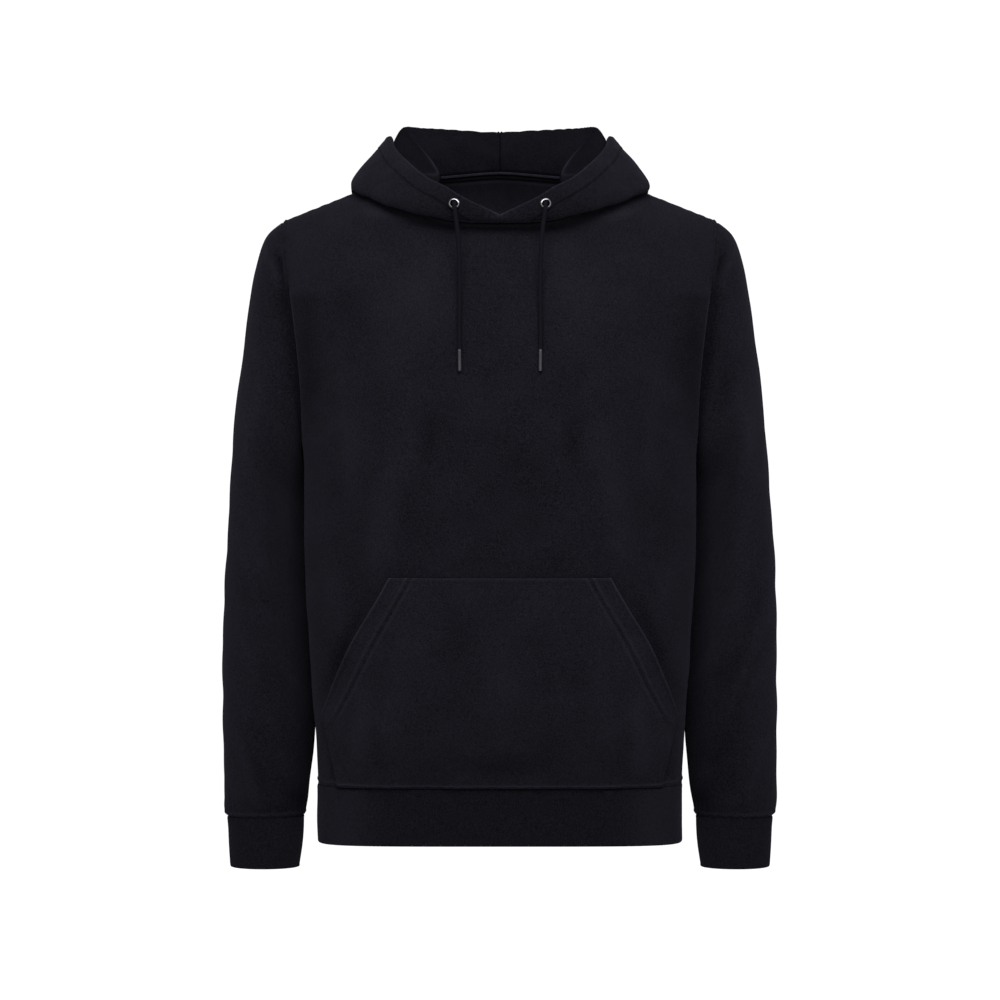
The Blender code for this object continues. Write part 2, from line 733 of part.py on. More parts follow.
def on_panel(grid, across, z):
    """The point of a panel's grid at this place, below the armholes."""
    level = int(np.clip(np.searchsorted(grid[:, 0, 2], z) - 1, 0, PANEL_LEVELS - 1))
    ends = []
    for row in grid[level], grid[level + 1]:
        ends.append(np.array([across, np.interp(across, row[:, 0], row[:, 1]), row[0, 2]]))
    return ends[0] + (ends[1] - ends[0]) * (z - ends[0][2]) / (ends[1][2] - ends[0][2])


def off_the_panel(panel, across, z):
    """The outward direction of the front panel at this place."""
    step = 5.0
    side = on_panel(panel, across + step, z) - on_panel(panel, across - step, z)
    up = on_panel(panel, across, z + step) - on_panel(panel, across, z - step)
    return unit(np.cross(side, up))


def pocket_lift(share, z):
    """How far the pocket's middle surface stands off the panel's, at a share of its half width."""
    climb = (z - POCKET_BOTTOM_Z) / (POCKET_TOP_Z - POCKET_BOTTOM_Z)
    puff = POCKET_PUFF * math.sin(math.pi * min(1, climb)) ** 0.8
    if z <= POCKET.rows[1, 0]:
        puff *= 1 - POCKET_SIDE_CLOSING * abs(share) ** 6
    return FLEECE_WALL + 2 * SEAM_GAP + POCKET_SIDE_LIFT * abs(share) ** 4 + puff


def pocket_grid(panel):
    """The pocket's middle surface, made from the front panel's points, moved out."""
    corner = POCKET.rows[1, 0]
    low = np.linspace(POCKET_BOTTOM_Z, corner, 3)
    high = np.linspace(corner, POCKET_TOP_Z, POCKET_ROWS - 1)
    grid = []
    for z in [*low, *high[1:]]:
        row = []
        for share in np.linspace(-1, 1, POCKET_COLUMNS + 1):
            across = share * pocket_half_width(z)
            row.append(on_panel(panel, across, z) + off_the_panel(panel, across, z) * pocket_lift(share, z))
        grid.append(row)
    return np.array(grid)


def build_pocket(panels, fleece):
    """The hand pocket across the front, open along both slanted edges."""
    make_object("pocket", *wall(pocket_grid(panels["front_panel"]), FLEECE_WALL), fleece)


def build_hood(panels, fleece):
    """The doubled hood in two halves that meet in the middle, front and back."""
    grid = hood_grid()
    edge = grid[:, 0].copy()
    facing = facing_near(edge, *panel_edges(panels, along_top=True))
    grid[:, 0] = seam_start(edge, facing, grid[:, 1], False, HOOD_WALL + 8 * SEAM_GAP)
    grid[0, :, 0] = SEAM_GAP / 2
    grid[-1, :, 0] = SEAM_GAP / 2
    make_pair("hood", *wall(grid, HOOD_WALL, flat_ends=True), fleece)


def build_tape(panels, tape):
    """The tape over the back neck seam, on the inside of the back panel."""
    panel = panels["back_panel"]
    near = np.abs(panel[-1, :, 0]) < TAPE_HALF_WIDTH
    edge, down = panel[-1, near], unit(panel[-2, near] - panel[-1, near])
    inside = edge - outward(panel)[-1, near] * (FLEECE_WALL / 2 + 3 * SEAM_GAP + TAPE_WALL / 2)
    grid = np.array([inside + down * drop for drop in TAPE_DROPS])
    make_object("neck_tape", *wall(grid, TAPE_WALL), tape)


def hood_face(share, up):
    """(point, outward direction) of the hood's outer face at this place."""
    here = hood_point(share, up)
    out = unit(np.cross(hood_point(share, up + 0.01) - here, hood_point(share + 0.01, up) - here))
    if out[1] > 0:
        out = -out
    return here + out * HOOD_WALL / 2, out


def torus(centre, axis, ring, wire, around=20, section=8):
    """(points, faces) of a ring of round wire."""
    side = unit(np.cross(axis, (0, 0, 1)))
    up = np.cross(side, axis)
    points = []
    for a in np.linspace(0, 2 * math.pi, around + 1)[:-1]:
        spoke = side * math.cos(a) + up * math.sin(a)
        for b in np.linspace(0, 2 * math.pi, section + 1)[:-1]:
            points.append(centre + spoke * (ring + wire * math.cos(b)) + axis * wire * math.sin(b))
    faces = []
    for i in range(around):
        for j in range(section):
            a, b = i * section + j, i * section + (j + 1) % section
            c, d = (a + section) % (around * section), (b + section) % (around * section)
            faces.append((a, b, d, c))
    return points, faces


# The left drawcord's middle line: straight out of its eyelet, over the hood's edge and down the chest.
CORD_ROUTE = (
    (45.6, -100.2, -46.6),
    (45.4, -102.6, -45.7),
    (45.2, -104.6, -46.1),
    (45.0, -105.8, -47.5),
    (44.9, -106.5, -49.7),
    (44.6, -106.7, -53.5),
    (44.0, -106.8, -58.5),
    (43.2, -106.7, -64.0),
    (42.3, -106.7, -71.0),
    (41.3, -106.7, -82.0),
    (40.6, -106.7, -96.0),
    (40.1, -106.7, -111.0),
    (39.8, -106.7, -126.0),
    (39.8, -106.7, -141.0),
    (40.1, -106.7, -156.0),
    (40.2, -107.0, -170.0),
    (40.1, -107.5, -182.0),
    (40.0, -107.8, -191.0),
)


def cord_points():
    """Points on a smooth curve through the drawcord's route, closest together where it turns down."""
    route = np.array(CORD_ROUTE)
    lengths = np.concatenate([[0], np.cumsum(np.linalg.norm(np.diff(route, axis=0), axis=1))])
    dense = np.array([smooth(lengths, route, s) for s in np.linspace(0, lengths[-1], 400)])
    return along(dense, np.linspace(0, 1, CORD_POINTS) ** CORD_CROWDING)


def build_cord(name, route, material):
    """A round cord along a route, closed at both ends."""
    curve = bpy.data.curves.new(name, "CURVE")
    curve.dimensions = "3D"
    curve.bevel_depth = CORD_WIDTH / 2 * MM
    curve.bevel_resolution = 2
    curve.use_fill_caps = True
    line = curve.splines.new("POLY")
    line.points.add(len(route) - 1)
    for point, place in zip(line.points, route):
        point.co = (*(place * MM), 1)
    curve.materials.append(material)
    bpy.context.scene.collection.objects.link(bpy.data.objects.new(name, curve))


def build_tip(name, top, down, material):
    """The moulded tip at a cord's end: a bevelled cylinder, hanging along the cord's last direction."""
    shell = bmesh.new()
    radius = TIP_WIDTH / 2 * MM
    bmesh.ops.create_cone(
        shell, cap_ends=True, segments=14, radius1=radius, radius2=radius, depth=TIP_LENGTH * MM
    )
    rims = [e for e in shell.edges if abs(e.verts[0].co.z - e.verts[1].co.z) < 1e-6]
    bmesh.ops.bevel(shell, geom=rims, offset=0.6 * MM, segments=2, affect="EDGES", profile=0.5)
    mesh = bpy.data.meshes.new(name)
    shell.to_mesh(mesh)
    shell.free()
    mesh.shade_smooth()
    mesh.materials.append(material)
    made = bpy.data.objects.new(name, mesh)
    made.location = (top + down * TIP_LENGTH / 2) * MM
    made.rotation_euler = (math.atan2(-down[1], -down[2]), 0, 0)
    bpy.context.scene.collection.objects.link(made)


def build_drawcord(cord, metal, tip):
    """The eyelets, the two free ends of the drawcord and their tips."""
    place, out = hood_face(EYELET_AT, EYELET_UP)
    ring = torus(place + out * (EYELET_WIRE + SEAM_GAP), out, EYELET_RING, EYELET_WIRE)
    make_pair("eyelet", *ring, metal)
    route = cord_points()
    across, _, end_z = CORD_ROUTE[-1]
    chest = (trunk_point(across, z, FRONT) for z in (end_z - TIP_LENGTH, end_z))
    down = unit(np.subtract(*chest))
    for name, flip in (("left", 1), ("right", -1)):
        path = route * (flip, 1, 1)
        build_cord(f"drawcord_{name}", path, cord)
        build_tip(f"cord_tip_{name}", path[-1] + down * SEAM_GAP, down, tip)


def main():
    """Builds the hoodie in an emptied scene."""
    for item in list(bpy.data.objects):
        bpy.data.objects.remove(item)
    fleece = make_material("fleece", (0.012, 0.011, 0.016), 0.95)
    rib = make_material("rib", (0.010, 0.009, 0.013), 0.95)
    tape = make_material("neck_tape", (0.010, 0.009, 0.013), 0.9)
    cord = make_material("cord", (0.011, 0.010, 0.014), 0.85)
    metal = make_material("eyelet_metal", (0.35, 0.35, 0.37), 0.25, metallic=1.0)
    tip = make_material("cord_tip", (0.05, 0.05, 0.055), 0.3)
    panels = {"front_panel": panel_grid(FRONT), "back_panel": panel_grid(BACK)}
    build_panels(panels, fleece)
    build_sleeves(panels, fleece, rib)
    build_band(rib)
    build_pocket(panels, fleece)
    build_hood(panels, fleece)
    build_tape(panels, tape)
    build_drawcord(cord, metal, tip)


main()
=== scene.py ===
"""A pullover hoodie in near-black brushed fleece, filled out as worn and empty inside.

The cloth pieces are made again here as fine shells on the forms of their solids, with their creases,
seams and sewing. Cloth is worked out in millimetres, in the frame of the solids: the front faces -Y,
the wearer's left is +X, and the origin lies between the shoulders. make_mesh turns it into metres.
"""

import math

import bpy
import numpy as np
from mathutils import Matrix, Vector
from mathutils.bvhtree import BVHTree


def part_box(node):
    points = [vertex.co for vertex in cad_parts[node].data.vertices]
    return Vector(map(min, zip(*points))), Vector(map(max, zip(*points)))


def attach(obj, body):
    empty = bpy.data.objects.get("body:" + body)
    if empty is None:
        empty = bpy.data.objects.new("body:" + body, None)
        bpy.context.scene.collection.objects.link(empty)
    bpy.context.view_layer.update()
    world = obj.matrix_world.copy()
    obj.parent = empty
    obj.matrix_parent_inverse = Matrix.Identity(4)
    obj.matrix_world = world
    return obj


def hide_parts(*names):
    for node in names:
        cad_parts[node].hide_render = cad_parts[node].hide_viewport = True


bl_info = {
    "name": "Pullover hoodie",
    "version": (1, 0, 0),
    "blender": (4, 5, 0),
    "location": "3D View > Sidebar > Hoodie",
    "description": "Dresses the solids of a pullover hoodie in sewn fleece, rib, cord and metal",
    "category": "Object",
}

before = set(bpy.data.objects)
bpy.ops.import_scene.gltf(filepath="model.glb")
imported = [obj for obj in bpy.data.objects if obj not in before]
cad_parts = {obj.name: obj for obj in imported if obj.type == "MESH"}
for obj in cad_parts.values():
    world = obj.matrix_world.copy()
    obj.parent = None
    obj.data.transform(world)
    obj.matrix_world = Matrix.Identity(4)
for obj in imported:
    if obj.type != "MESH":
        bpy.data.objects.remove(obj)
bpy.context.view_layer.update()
MM = 0.001
FRONT, BACK = -1, 1
SIDES = {"left": 1, "right": -1}
FLIP = np.array([-1.0, 1.0, 1.0])


def lowest(node):
    """The height of a solid's lowest point, in millimetres."""
    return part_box(node)[0][2] / MM


# Heights that the solids give: the hem, and the waistband's top, a seam's gap below the front.
SEAM_GAP = 0.3
HEM_Z = lowest("hem_band")
BAND_SEAM_Z = lowest("front_panel") - SEAM_GAP

# The cut, as on the solids.
ARMPIT_Z = -278.0
CHEST_Z = -200.0
SHOULDER_POINT_Z = -53.5
SIDE_NECK_Z = -4.1
SHOULDER_SLOPE = 0.397
YOKE_ROUNDNESS = 2.2
NECK_HALF = 100.0
FRONT_NECK_Z = -62.3
BACK_NECK_REACH = 40.0
NECK_ROUNDNESS = 3.0
BACK_NECK_ROUNDNESS = 2.3
NECK_CAP = 1.7
ARMHOLE_MIDDLE_Z = -160.0
POCKET_CORNER_Z = -556.0
# The eyelets' place on the hood: along the neck seam from the front, and up from the seam to the edge.
EYELET_AT, EYELET_UP = 0.165, 0.80
# Where the sewing of each panel's armhole ends below. The front's turns in under the sleeve there.
TURNED_IN_Z = {FRONT: -126.0, BACK: ARMPIT_Z}


# ---------------------------------------------------------------- settings


def colour_setting(name, description, default):
    """A colour that a user can change."""
    return bpy.props.FloatVectorProperty(
        name=name, description=description, subtype="COLOR", size=3, min=0, max=1, default=default
    )


def number_setting(name, description, default, **kind):
    """A number that a user can change."""
    return bpy.props.FloatProperty(name=name, description=description, default=default, **kind)


def length_setting(name, description, millimetres):
    """A length that a user can change."""
    return number_setting(name, description, millimetres * MM, unit="LENGTH", precision=5, min=0)


def share_setting(name, description, default):
    """A share from 0 to 1 that a user can change."""
    return number_setting(name, description, default, subtype="FACTOR", min=0, max=1)


class HoodieCloth(bpy.types.PropertyGroup):
    """The fleece, the rib and the sewing thread."""

    fleece: colour_setting("Fleece", "Colour of the brushed face", (0.00208, 0.00196, 0.00272))
    sheen_tint: colour_setting("Sheen colour", "Colour of the light on the raised fibres", (0.62, 0.59, 0.80))
    # The body's inner face is lighter than the fleece: partly the looped back's own colour, partly painted
    # light for the shaded inside of the neck.
    body_inside: colour_setting("Body inside", "Colour of the looped inner face", (0.0042, 0.0039, 0.0056))
    # The hood's inner face is the same fleece made darker: painted shade.
    hood_inside_shaded: colour_setting("Hood inside", "Colour of the hood's lining", (0.0016, 0.0015, 0.0021))
    rib: colour_setting("Rib", "Colour of the waistband and cuffs", (0.0017, 0.0016, 0.0022))
    thread: colour_setting("Thread", "Colour of the sewing thread", (0.0012, 0.0011, 0.0016))
    sheen: share_setting("Sheen", "How much light the raised fibres catch at the edges", 0.012)
    gloss: share_setting("Gloss", "How much the cloth shines", 0.0)
    fleece_wall: length_setting("Fleece thickness", "Thickness of the body's cloth", 2.2)
    hood_wall: length_setting("Hood thickness", "Thickness of the doubled hood", 3.2)
    rib_wall: length_setting("Rib thickness", "Thickness of the folded bands", 3.0)
    spacing: length_setting("Mesh spacing", "Distance between the points of a cloth mesh", 3.0)
    stitch: length_setting("Stitch length", "Length of one stitch with its gap", 3.2)
    thread_width: length_setting("Thread width", "Thickness of the sewing thread", 0.42)


class HoodieTrims(bpy.types.PropertyGroup):
    """The drawcord, its tips and its eyelets."""

    cord: colour_setting("Cord", "Colour of the braid", (0.0017, 0.0016, 0.0023))
    metal: colour_setting("Eyelet metal", "Colour of the eyelets", (0.012, 0.012, 0.0128))
    tip: colour_setting("Tip metal", "Colour of the cord tips", (0.020, 0.0198, 0.0234))
    cord_width: length_setting("Cord width", "Thickness of the drawcord", 4.4)


class HoodieStage(bpy.types.PropertyGroup):
    """The floor, the lights and the camera."""

    floor: colour_setting("Floor", "Colour of the floor", (0.97, 0.97, 0.97))
    sky: number_setting("Surrounding light", "Strength of the even light all round", 1.04, min=0)
    key_light: number_setting("Key light", "Power of the light above the front", 112.0, unit="POWER", min=0)
    distance: length_setting("Camera distance", "From the camera to the origin", 2577.5)
    height: number_setting("Camera height", "Height of the camera", -0.340, unit="LENGTH")


# ---------------------------------------------------------------- curves and tables


def curve(knots, values, at):
    """The values at these places on a smooth cubic through the knots."""
    knots, values, at = np.asarray(knots, float), np.asarray(values, float), np.asarray(at, float)
    extra = (1,) * (values.ndim - 1)
    steps = np.diff(knots)
    slopes = np.diff(values, axis=0) / steps.reshape(-1, *extra)
    before, after = steps[:-1].reshape(-1, *extra), steps[1:].reshape(-1, *extra)
    inner = (slopes[:-1] * after + slopes[1:] * before) / (before + after)
    tangents = np.concatenate([slopes[:1], inner, slopes[-1:]])
    span = np.clip(np.searchsorted(knots, at) - 1, 0, len(steps) - 1)
    t = ((np.clip(at, knots[0], knots[-1]) - knots[span]) / steps[span]).reshape(at.shape + extra)
    step = steps[span].reshape(at.shape + extra)
    rise = 3 * t**2 - 2 * t**3
    return (
        values[span] * (1 - rise)
        + values[span + 1] * rise
        + step * (tangents[span] * (t**3 - 2 * t**2 + t) + tangents[span + 1] * (t**3 - t**2))
    )


def numbers(text):
    """Rows of numbers from a text, where a row ends at a bar or at the end of its line."""
    rows = [row.split() for row in text.replace("|", "\n").splitlines()]
    return np.array([row for row in rows if row], float)


def creases(text):
    """The start, the end and the other sizes of each crease in a text."""
    return [(row[:2], row[2:4], *row[4:]) for row in numbers(text)]


class Table:
    """Rows of sizes under named columns, read on a smooth curve. The first column is looked up."""

    def __init__(self, columns, text):
        self.columns = columns.split()
        self.rows = numbers(text)

    def read(self, column, at):
        """One column's values at these places."""
        return curve(self.rows[:, 0], self.rows[:, self.columns.index(column)], at)

    def row(self, at):
        """Every column's value at one place."""
        return {column: float(self.read(column, at)) for column in self.columns[1:]}


def ease(t):
    """0 to 1 with a soft start and end."""
    t = np.clip(t, 0, 1)
    return t * t * (3 - 2 * t)


def bump(distance, width):
    """1 at no distance, falling softly to 0 past this width."""
    return np.exp(-((distance / width) ** 2))


def full_turn(count):
    """This many angles, evenly spaced round a full turn."""
    return np.linspace(0, 2 * math.pi, count + 1)[:-1]


def unit(vectors):
    """The vectors at length 1."""
    return vectors / np.maximum(np.linalg.norm(vectors, axis=-1), 1e-12)[..., None]


def run_of(points):
    """How far along a line of points each of them lies."""
    return np.concatenate([[0], np.cumsum(np.linalg.norm(np.diff(points[:, :3], axis=0), axis=1))])


def at_distances(points, distances):
    """The points this far along a line. Any columns past x, y, z are carried along."""
    run = run_of(points)
    return np.stack([np.interp(distances, run, channel) for channel in points.T], 1)


def numbered(grid):
    """The numbers of a grid's points, row by row."""
    return np.arange(grid.shape[0] * grid.shape[1]).reshape(grid.shape[:2])


def quads(index, closed=False):
    """The faces between the neighbouring points of a numbered grid, whose rows may be closed rings."""
    here, nxt = (index, np.roll(index, -1, axis=1)) if closed else (index[:, :-1], index[:, 1:])
    return np.stack([here[:-1], nxt[:-1], nxt[1:], here[1:]], -1).reshape(-1, 4)


# ---------------------------------------------------------------- the body's form

# The trunk at each height: half its width, its depth before and behind the side seam, how square its
# section is and where the seam lies. Then half the distance between the armholes.
TRUNK = Table("z half front back square seam_y", """
    -688 184.7 69 63 4.8 0 | -629 185.2 73 67 4.3 0 | -590 187.3 83 74 3.6 0
    -520 192.3 95 83 3 0 | -402 200 107 90 2.5 2 | -278 203 113 97 2.4 6
    -240 208.3 114 99 2.4 8 | -200 214.5 114 100 2.4 9 | -160 221 114 100 2.4 10
    -120 227 113 100 2.3 11 | -54 238 111 100 2.3 12 | 40 250 108 98 2.3 12
""")
ARMHOLE = Table("z across", """
    -278 203 | -240 202.5 | -200 205 | -160 209.5 | -120 215.5 | -53.5 224 | -20 229
""")

# How many points half a neckline and half a level row have.
NECK_POINTS, LEVEL_POINTS = 60, 120

# The body's soft folds: the line of each, across and up, how wide it is and how far it stands out.
FOLDS = {
    FRONT: creases("""
        118 -95  112 -400  26 3.5 | 156 -215  143 -560  17 -3
        -120 -90  -110 -420  25 3.2 | -153 -230  -146 -545  18 -3.2
        12 -300  -20 -420  30 -1.6
    """),
    BACK: creases("""
        70 -290  88 -590  28 3.6 | 128 -170  112 -480  22 -3.4
        -82 -310  -70 -600  26 3.8 | -130 -160  -122 -510  23 -3
        4 -330  16 -560  30 -2.6
    """),
}


def shoulder_z(across):
    """The height of the shoulder seam, and of the soft cap that carries it on over the neck."""
    share = np.minimum(1.0, np.abs(across) / NECK_HALF)
    cap = NECK_HALF * (1 - share**NECK_CAP) / NECK_CAP
    return SIDE_NECK_Z + SHOULDER_SLOPE * (cap - np.maximum(0.0, np.abs(across) - NECK_HALF))


def side_depth(across, z, side):
    """How far the body stands in front of its side seam, or behind it."""
    square = TRUNK.read("square", z)
    share = np.minimum(1.0, np.abs(across) / TRUNK.read("half", z))
    return TRUNK.read("front" if side == FRONT else "back", z) * (1 - share**square) ** (1 / square)


def fold_height(across, z, side):
    """How far the body's soft folds move the surface out."""
    total = np.zeros(np.broadcast(across, z).shape)
    for start, end, width, height in FOLDS[side]:
        share = np.clip((start[1] - z) / (start[1] - end[1]), 0, 1)
        middle = start[0] + (end[0] - start[0]) * share
        total = total + height * np.sin(math.pi * share) ** 1.3 * bump(across - middle, width)
    return total


def trunk_points(across, z, side):
    """Points of the front's or back's middle surface."""
    across, z = np.broadcast_arrays(np.asarray(across, float), np.asarray(z, float))
    depth = side_depth(across, z, side)
    depth = depth + fold_height(across, z, side) * ease(depth / 70)
    rise = np.clip((z - CHEST_Z) / (shoulder_z(across) - CHEST_Z), 0, 1)
    closing = (1 - rise**YOKE_ROUNDNESS) ** (1 / YOKE_ROUNDNESS)
    return np.stack([across, TRUNK.read("seam_y", z) + side * depth * closing, z], -1)


def yoke_turn(across, side):
    """How far round its closing the panel reaches: a quarter turn at the shoulder seam, less at the neck."""
    share = np.minimum(1.0, np.abs(across) / NECK_HALF)
    if side == FRONT:
        bow = (1 - share**NECK_ROUNDNESS) ** (1 / NECK_ROUNDNESS)
        neck = FRONT_NECK_Z + (SIDE_NECK_Z - FRONT_NECK_Z) * (1 - bow)
    else:
        reach = BACK_NECK_REACH * (1 - share**BACK_NECK_ROUNDNESS) ** (1 / BACK_NECK_ROUNDNESS)
        left = (1 - (reach / side_depth(across, 0.0, BACK)) ** YOKE_ROUNDNESS) ** (1 / YOKE_ROUNDNESS)
        neck = CHEST_Z + (shoulder_z(across) - CHEST_Z) * left
    top = np.clip((neck - CHEST_Z) / (shoulder_z(across) - CHEST_Z), 0, 1)
    return np.where(np.abs(across) >= NECK_HALF, math.pi / 2, np.arcsin(top ** (YOKE_ROUNDNESS / 2)))


def yoke_z(across, share, side):
    """The height of a row of the panel's top part, from 0 at the chest to 1 on the shoulder or neckline."""
    low = yoke_turn(0.0, side)
    gentle = low + (math.pi / 2 - low) * ease(across / ARMHOLE.read("across", SHOULDER_POINT_Z))
    turn = share * (gentle + (yoke_turn(across, side) - gentle) * share**4)
    return CHEST_Z + (shoulder_z(across) - CHEST_Z) * np.sin(turn) ** (2 / YOKE_ROUNDNESS)


def level_row(z, side):
    """Points from the middle of the body to its side seam or armhole, at one height."""
    half, square = TRUNK.read("half", z), TRUNK.read("square", z)
    end = min(1.0, ARMHOLE.read("across", z) / half) if z > ARMPIT_Z else 1.0
    turns = np.linspace(0, math.asin(end ** (square / 2)), LEVEL_POINTS)
    return trunk_points(half * np.sin(turns) ** (2 / square), z, side)


def neck_across():
    """Places across half the neckline, closer together where it climbs to the shoulder."""
    return NECK_HALF * np.sin(np.linspace(0, math.pi / 2, NECK_POINTS)) ** (2 / NECK_ROUNDNESS)


def yoke_row(share, side):
    """Points from the middle to the armhole on a row of the panel's top part."""
    end = ARMHOLE.read("across", CHEST_Z)
    for _ in range(12):
        end = ARMHOLE.read("across", yoke_z(end, share, side))
    across = np.concatenate([neck_across(), np.linspace(NECK_HALF, end, 61)[1:]])
    return trunk_points(across, yoke_z(across, share, side), side)


def panel_rows(side):
    """Close rows of points on a whole panel, from the band seam up, each from its left to its right edge."""
    lower, upper = np.linspace(BAND_SEAM_Z, ARMPIT_Z, 120), np.linspace(ARMPIT_Z, CHEST_Z, 40)
    halves = [level_row(z, side) for z in (*lower, *upper[1:])]
    halves += [yoke_row(share, side) for share in np.linspace(0, 1, 81)[1:]]
    top = run_of(halves[-1])
    neck, length = top[NECK_POINTS - 1], top[-1]
    wanted = np.concatenate([np.linspace(0, neck, 46), np.linspace(neck, length, 46)[1:]]) / length
    grid = []
    for index, half in enumerate(halves):
        length = run_of(half)[-1]
        even = np.linspace(0, length, 91)
        pull = ease((index / len(halves) - 0.25) / 0.75)
        found = at_distances(half, even + (wanted * length - even) * pull)
        grid.append(np.concatenate([found[:0:-1] * FLIP, found]))
    return np.array(grid)


# ---------------------------------------------------------------- the sleeves' form

# The rings down a sleeve and its cuff: their outer and inner sides, how far back their middle lies, half
# their depth, their turn in degrees and how far they have gone from the armhole's form to a tube's.
SLEEVE = Table("ring outer_x outer_z inner_x inner_z back depth turn tube", """
    0 224 -53.5 203 -278 8 50 0 0 | 1 240.5 -68.5 204.5 -284 12 51 3 0.12
    2 250.5 -95 204.8 -294 17 54 6 0.32 | 3 258 -130 204.5 -307 21 58 9 0.6
    4 263.7 -172 204.2 -323 24 61 12 0.82 | 5 269 -216 203.8 -343 27 63 14 0.95
    6 273.6 -265 203 -369 29 63 16 1 | 7 277.6 -321 201.5 -400 31 61 17 1
    8 281.6 -382 200 -435 32 58 17 1 | 9 284.6 -441 197 -472 33 55 16 1
    10 286.2 -498 194.5 -515 32 51 14 1 | 11 286.8 -556 193.5 -562 29 47 10 1
    12 286.5 -602 195.5 -603 26 42 6 1 | 13 285.8 -641 200 -641 23 36 3 1
    14 284.9 -659 202.7 -659 21 31 1 1 | 15 281.6 -667 204.6 -667 20 27 0 1
""")
CUFF = Table("ring outer_x outer_z inner_x inner_z back depth", """
    0 281.6 -667 204.6 -667 20 27 | 1 280.6 -680 205.2 -680 20 27
    2 279.6 -700 207 -700 19 26 | 3 278.2 -720 209.4 -720 18 24
""")
RING_POINTS = 180
# How far a sleeve's middle surface keeps from the body's.
BODY_CLEARANCE = 2.9


def armhole_points(angles):
    """Points of the armhole at these angles round it, 0 at the shoulder point, half a turn at the armpit."""
    z = (SHOULDER_POINT_Z + ARMPIT_Z) / 2 + (SHOULDER_POINT_Z - ARMPIT_Z) / 2 * np.cos(angles)
    across = ARMHOLE.read("across", z)
    front, back = trunk_points(across, z, FRONT), trunk_points(across, z, BACK)
    return np.where((np.sin(angles) > 0)[:, None], front, back)


def tube_ring(row, depth, turn, angles):
    """An oval ring through an outer and an inner point, turned about its own middle."""
    outer = np.array([row["outer_x"], row["back"], row["outer_z"]])
    inner = np.array([row["inner_x"], row["back"], row["inner_z"]])
    middle, reach = (outer + inner) / 2, (outer - inner) / 2
    front = depth * np.array([math.sin(math.radians(turn)), -math.cos(math.radians(turn)), 0])
    reach = reach * (1 - (front[0] / reach[0]) ** 2) ** 0.5
    return middle + np.outer(np.cos(angles), reach) + np.outer(np.sin(angles), front)


def beside_the_body(ring, clearance):
    """The ring's points moved outwards where they are nearer than this to the body's side."""
    x, y, z = ring.T
    side = np.where(y < TRUNK.read("seam_y", z), TRUNK.read("front", z), TRUNK.read("back", z))
    square = TRUNK.read("square", z)
    share = np.minimum(1.0, np.abs(y - TRUNK.read("seam_y", z)) / side)
    least = TRUNK.read("half", z) * (1 - share**square) ** (1 / square) + clearance
    return np.stack([np.where(z < ARMPIT_Z + 4, np.maximum(x, least), x), y, z], 1)


def sleeve_rows():
    """Close rings of points down the left sleeve. Each point carries its angle round the sleeve."""
    angles = full_turn(RING_POINTS)
    shoulder, armpit = armhole_points(np.array([0.0, math.pi]))
    line = (shoulder + armpit) / 2 + np.outer(np.cos(angles), (shoulder - armpit) / 2)
    hole = armhole_points(angles) - line
    seam_y = TRUNK.read("seam_y", ARMHOLE_MIDDLE_Z)
    rings = []
    for place in np.linspace(0, len(SLEEVE.rows) - 1, 181):
        row = SLEEVE.row(place)
        tube = tube_ring(row, row["depth"], row["turn"], angles)
        middle_y = row["back"] + (seam_y - row["back"]) * (1 - row["tube"])
        near_hole = tube_ring(row, 0.0, 0.0, angles) + hole
        near_hole[:, 1] = middle_y + hole[:, 1] + line[:, 1] - seam_y
        ring = near_hole + (tube - near_hole) * np.clip(row["tube"], 0, 1)
        if place > 0:
            ring = beside_the_body(ring, BODY_CLEARANCE * min(1.0, place))
        rings.append(np.column_stack([ring, np.degrees(angles)]))
    return np.array(rings)


def cuff_rows():
    """Close rings of points down the left cuff, with each point's angle."""
    angles = full_turn(RING_POINTS)
    rings = []
    for place in np.linspace(0, len(CUFF.rows) - 1, 31):
        row = CUFF.row(place)
        rings.append(np.column_stack([tube_ring(row, row["depth"], 0, angles), np.degrees(angles)]))
    return np.array(rings)


# ---------------------------------------------------------------- the hood's form

# A row is a cut through the left half of the hood: its place on the neck seam, from 0 in front to 1 at
# the back, and the x, y, z of the fold, ridge, fall, low, bulge, crest and edge of its cloth.
HOOD = numbers("""
    0  0 -84.5 -59.3  0 -87 -57.8  0 -90.5 -59.5  0 -94.5 -63  0 -98.5 -62  0 -99.8 -59.5  0 -98.8 -57.3
    0.12  35 -84 -58  35 -87 -55.5  35 -91 -57  35.5 -96 -61  36 -99.5 -56.5  36 -97.5 -47  36.5 -92 -39.5
    0.22  59 -79 -53  59.5 -83 -50  60 -88 -52.5  59 -96 -58.5  58 -99 -51  56 -94 -37  54 -86 -28
    0.33  77 -65 -43  79 -70 -37  84 -77 -42  88 -86 -51.5  88 -88 -42  81 -80 -25  73 -72 -17
    0.43  74 -38 -27  92 -44 -14  104 -52 -28  119 -58 -39.5  121 -59 -28  106 -53 -4  92 -47 1
    0.5  62 -10 -12  103 -16 7  121 -20 -8  143 -25 -25  148 -24 -14  116 -16 22.5  108 -15 19
    0.56  67 14 2  107 12 18  122 12 3  145 12 -19  151 12 -10  118.5 16 32  111.5 14 32.5
    0.64  77 37 18  107 44 37  119 50 10  145 52 -38  149 56 -24  122 52 31  116 48 36.5
    0.71  97 66 40  104 86 54  109 95 22  141 92 -85  147 105 -70  118 106 22  111.5 102 34.5
    0.8  80 70 34  80 90 54.5  84 103 15  112 112 -140  116 133 -128  92 130 18  84 124 32
    0.9  40 73 30  41 95 53.2  43 106 8  60 117 -172  61 140 -165  47 144 8  43 135 30
    1  0 74 28  0 96 51.5  0 108 5  0 118 -184  0 143 -178  0 148 5  0 139 29
""")
GUIDES = 8
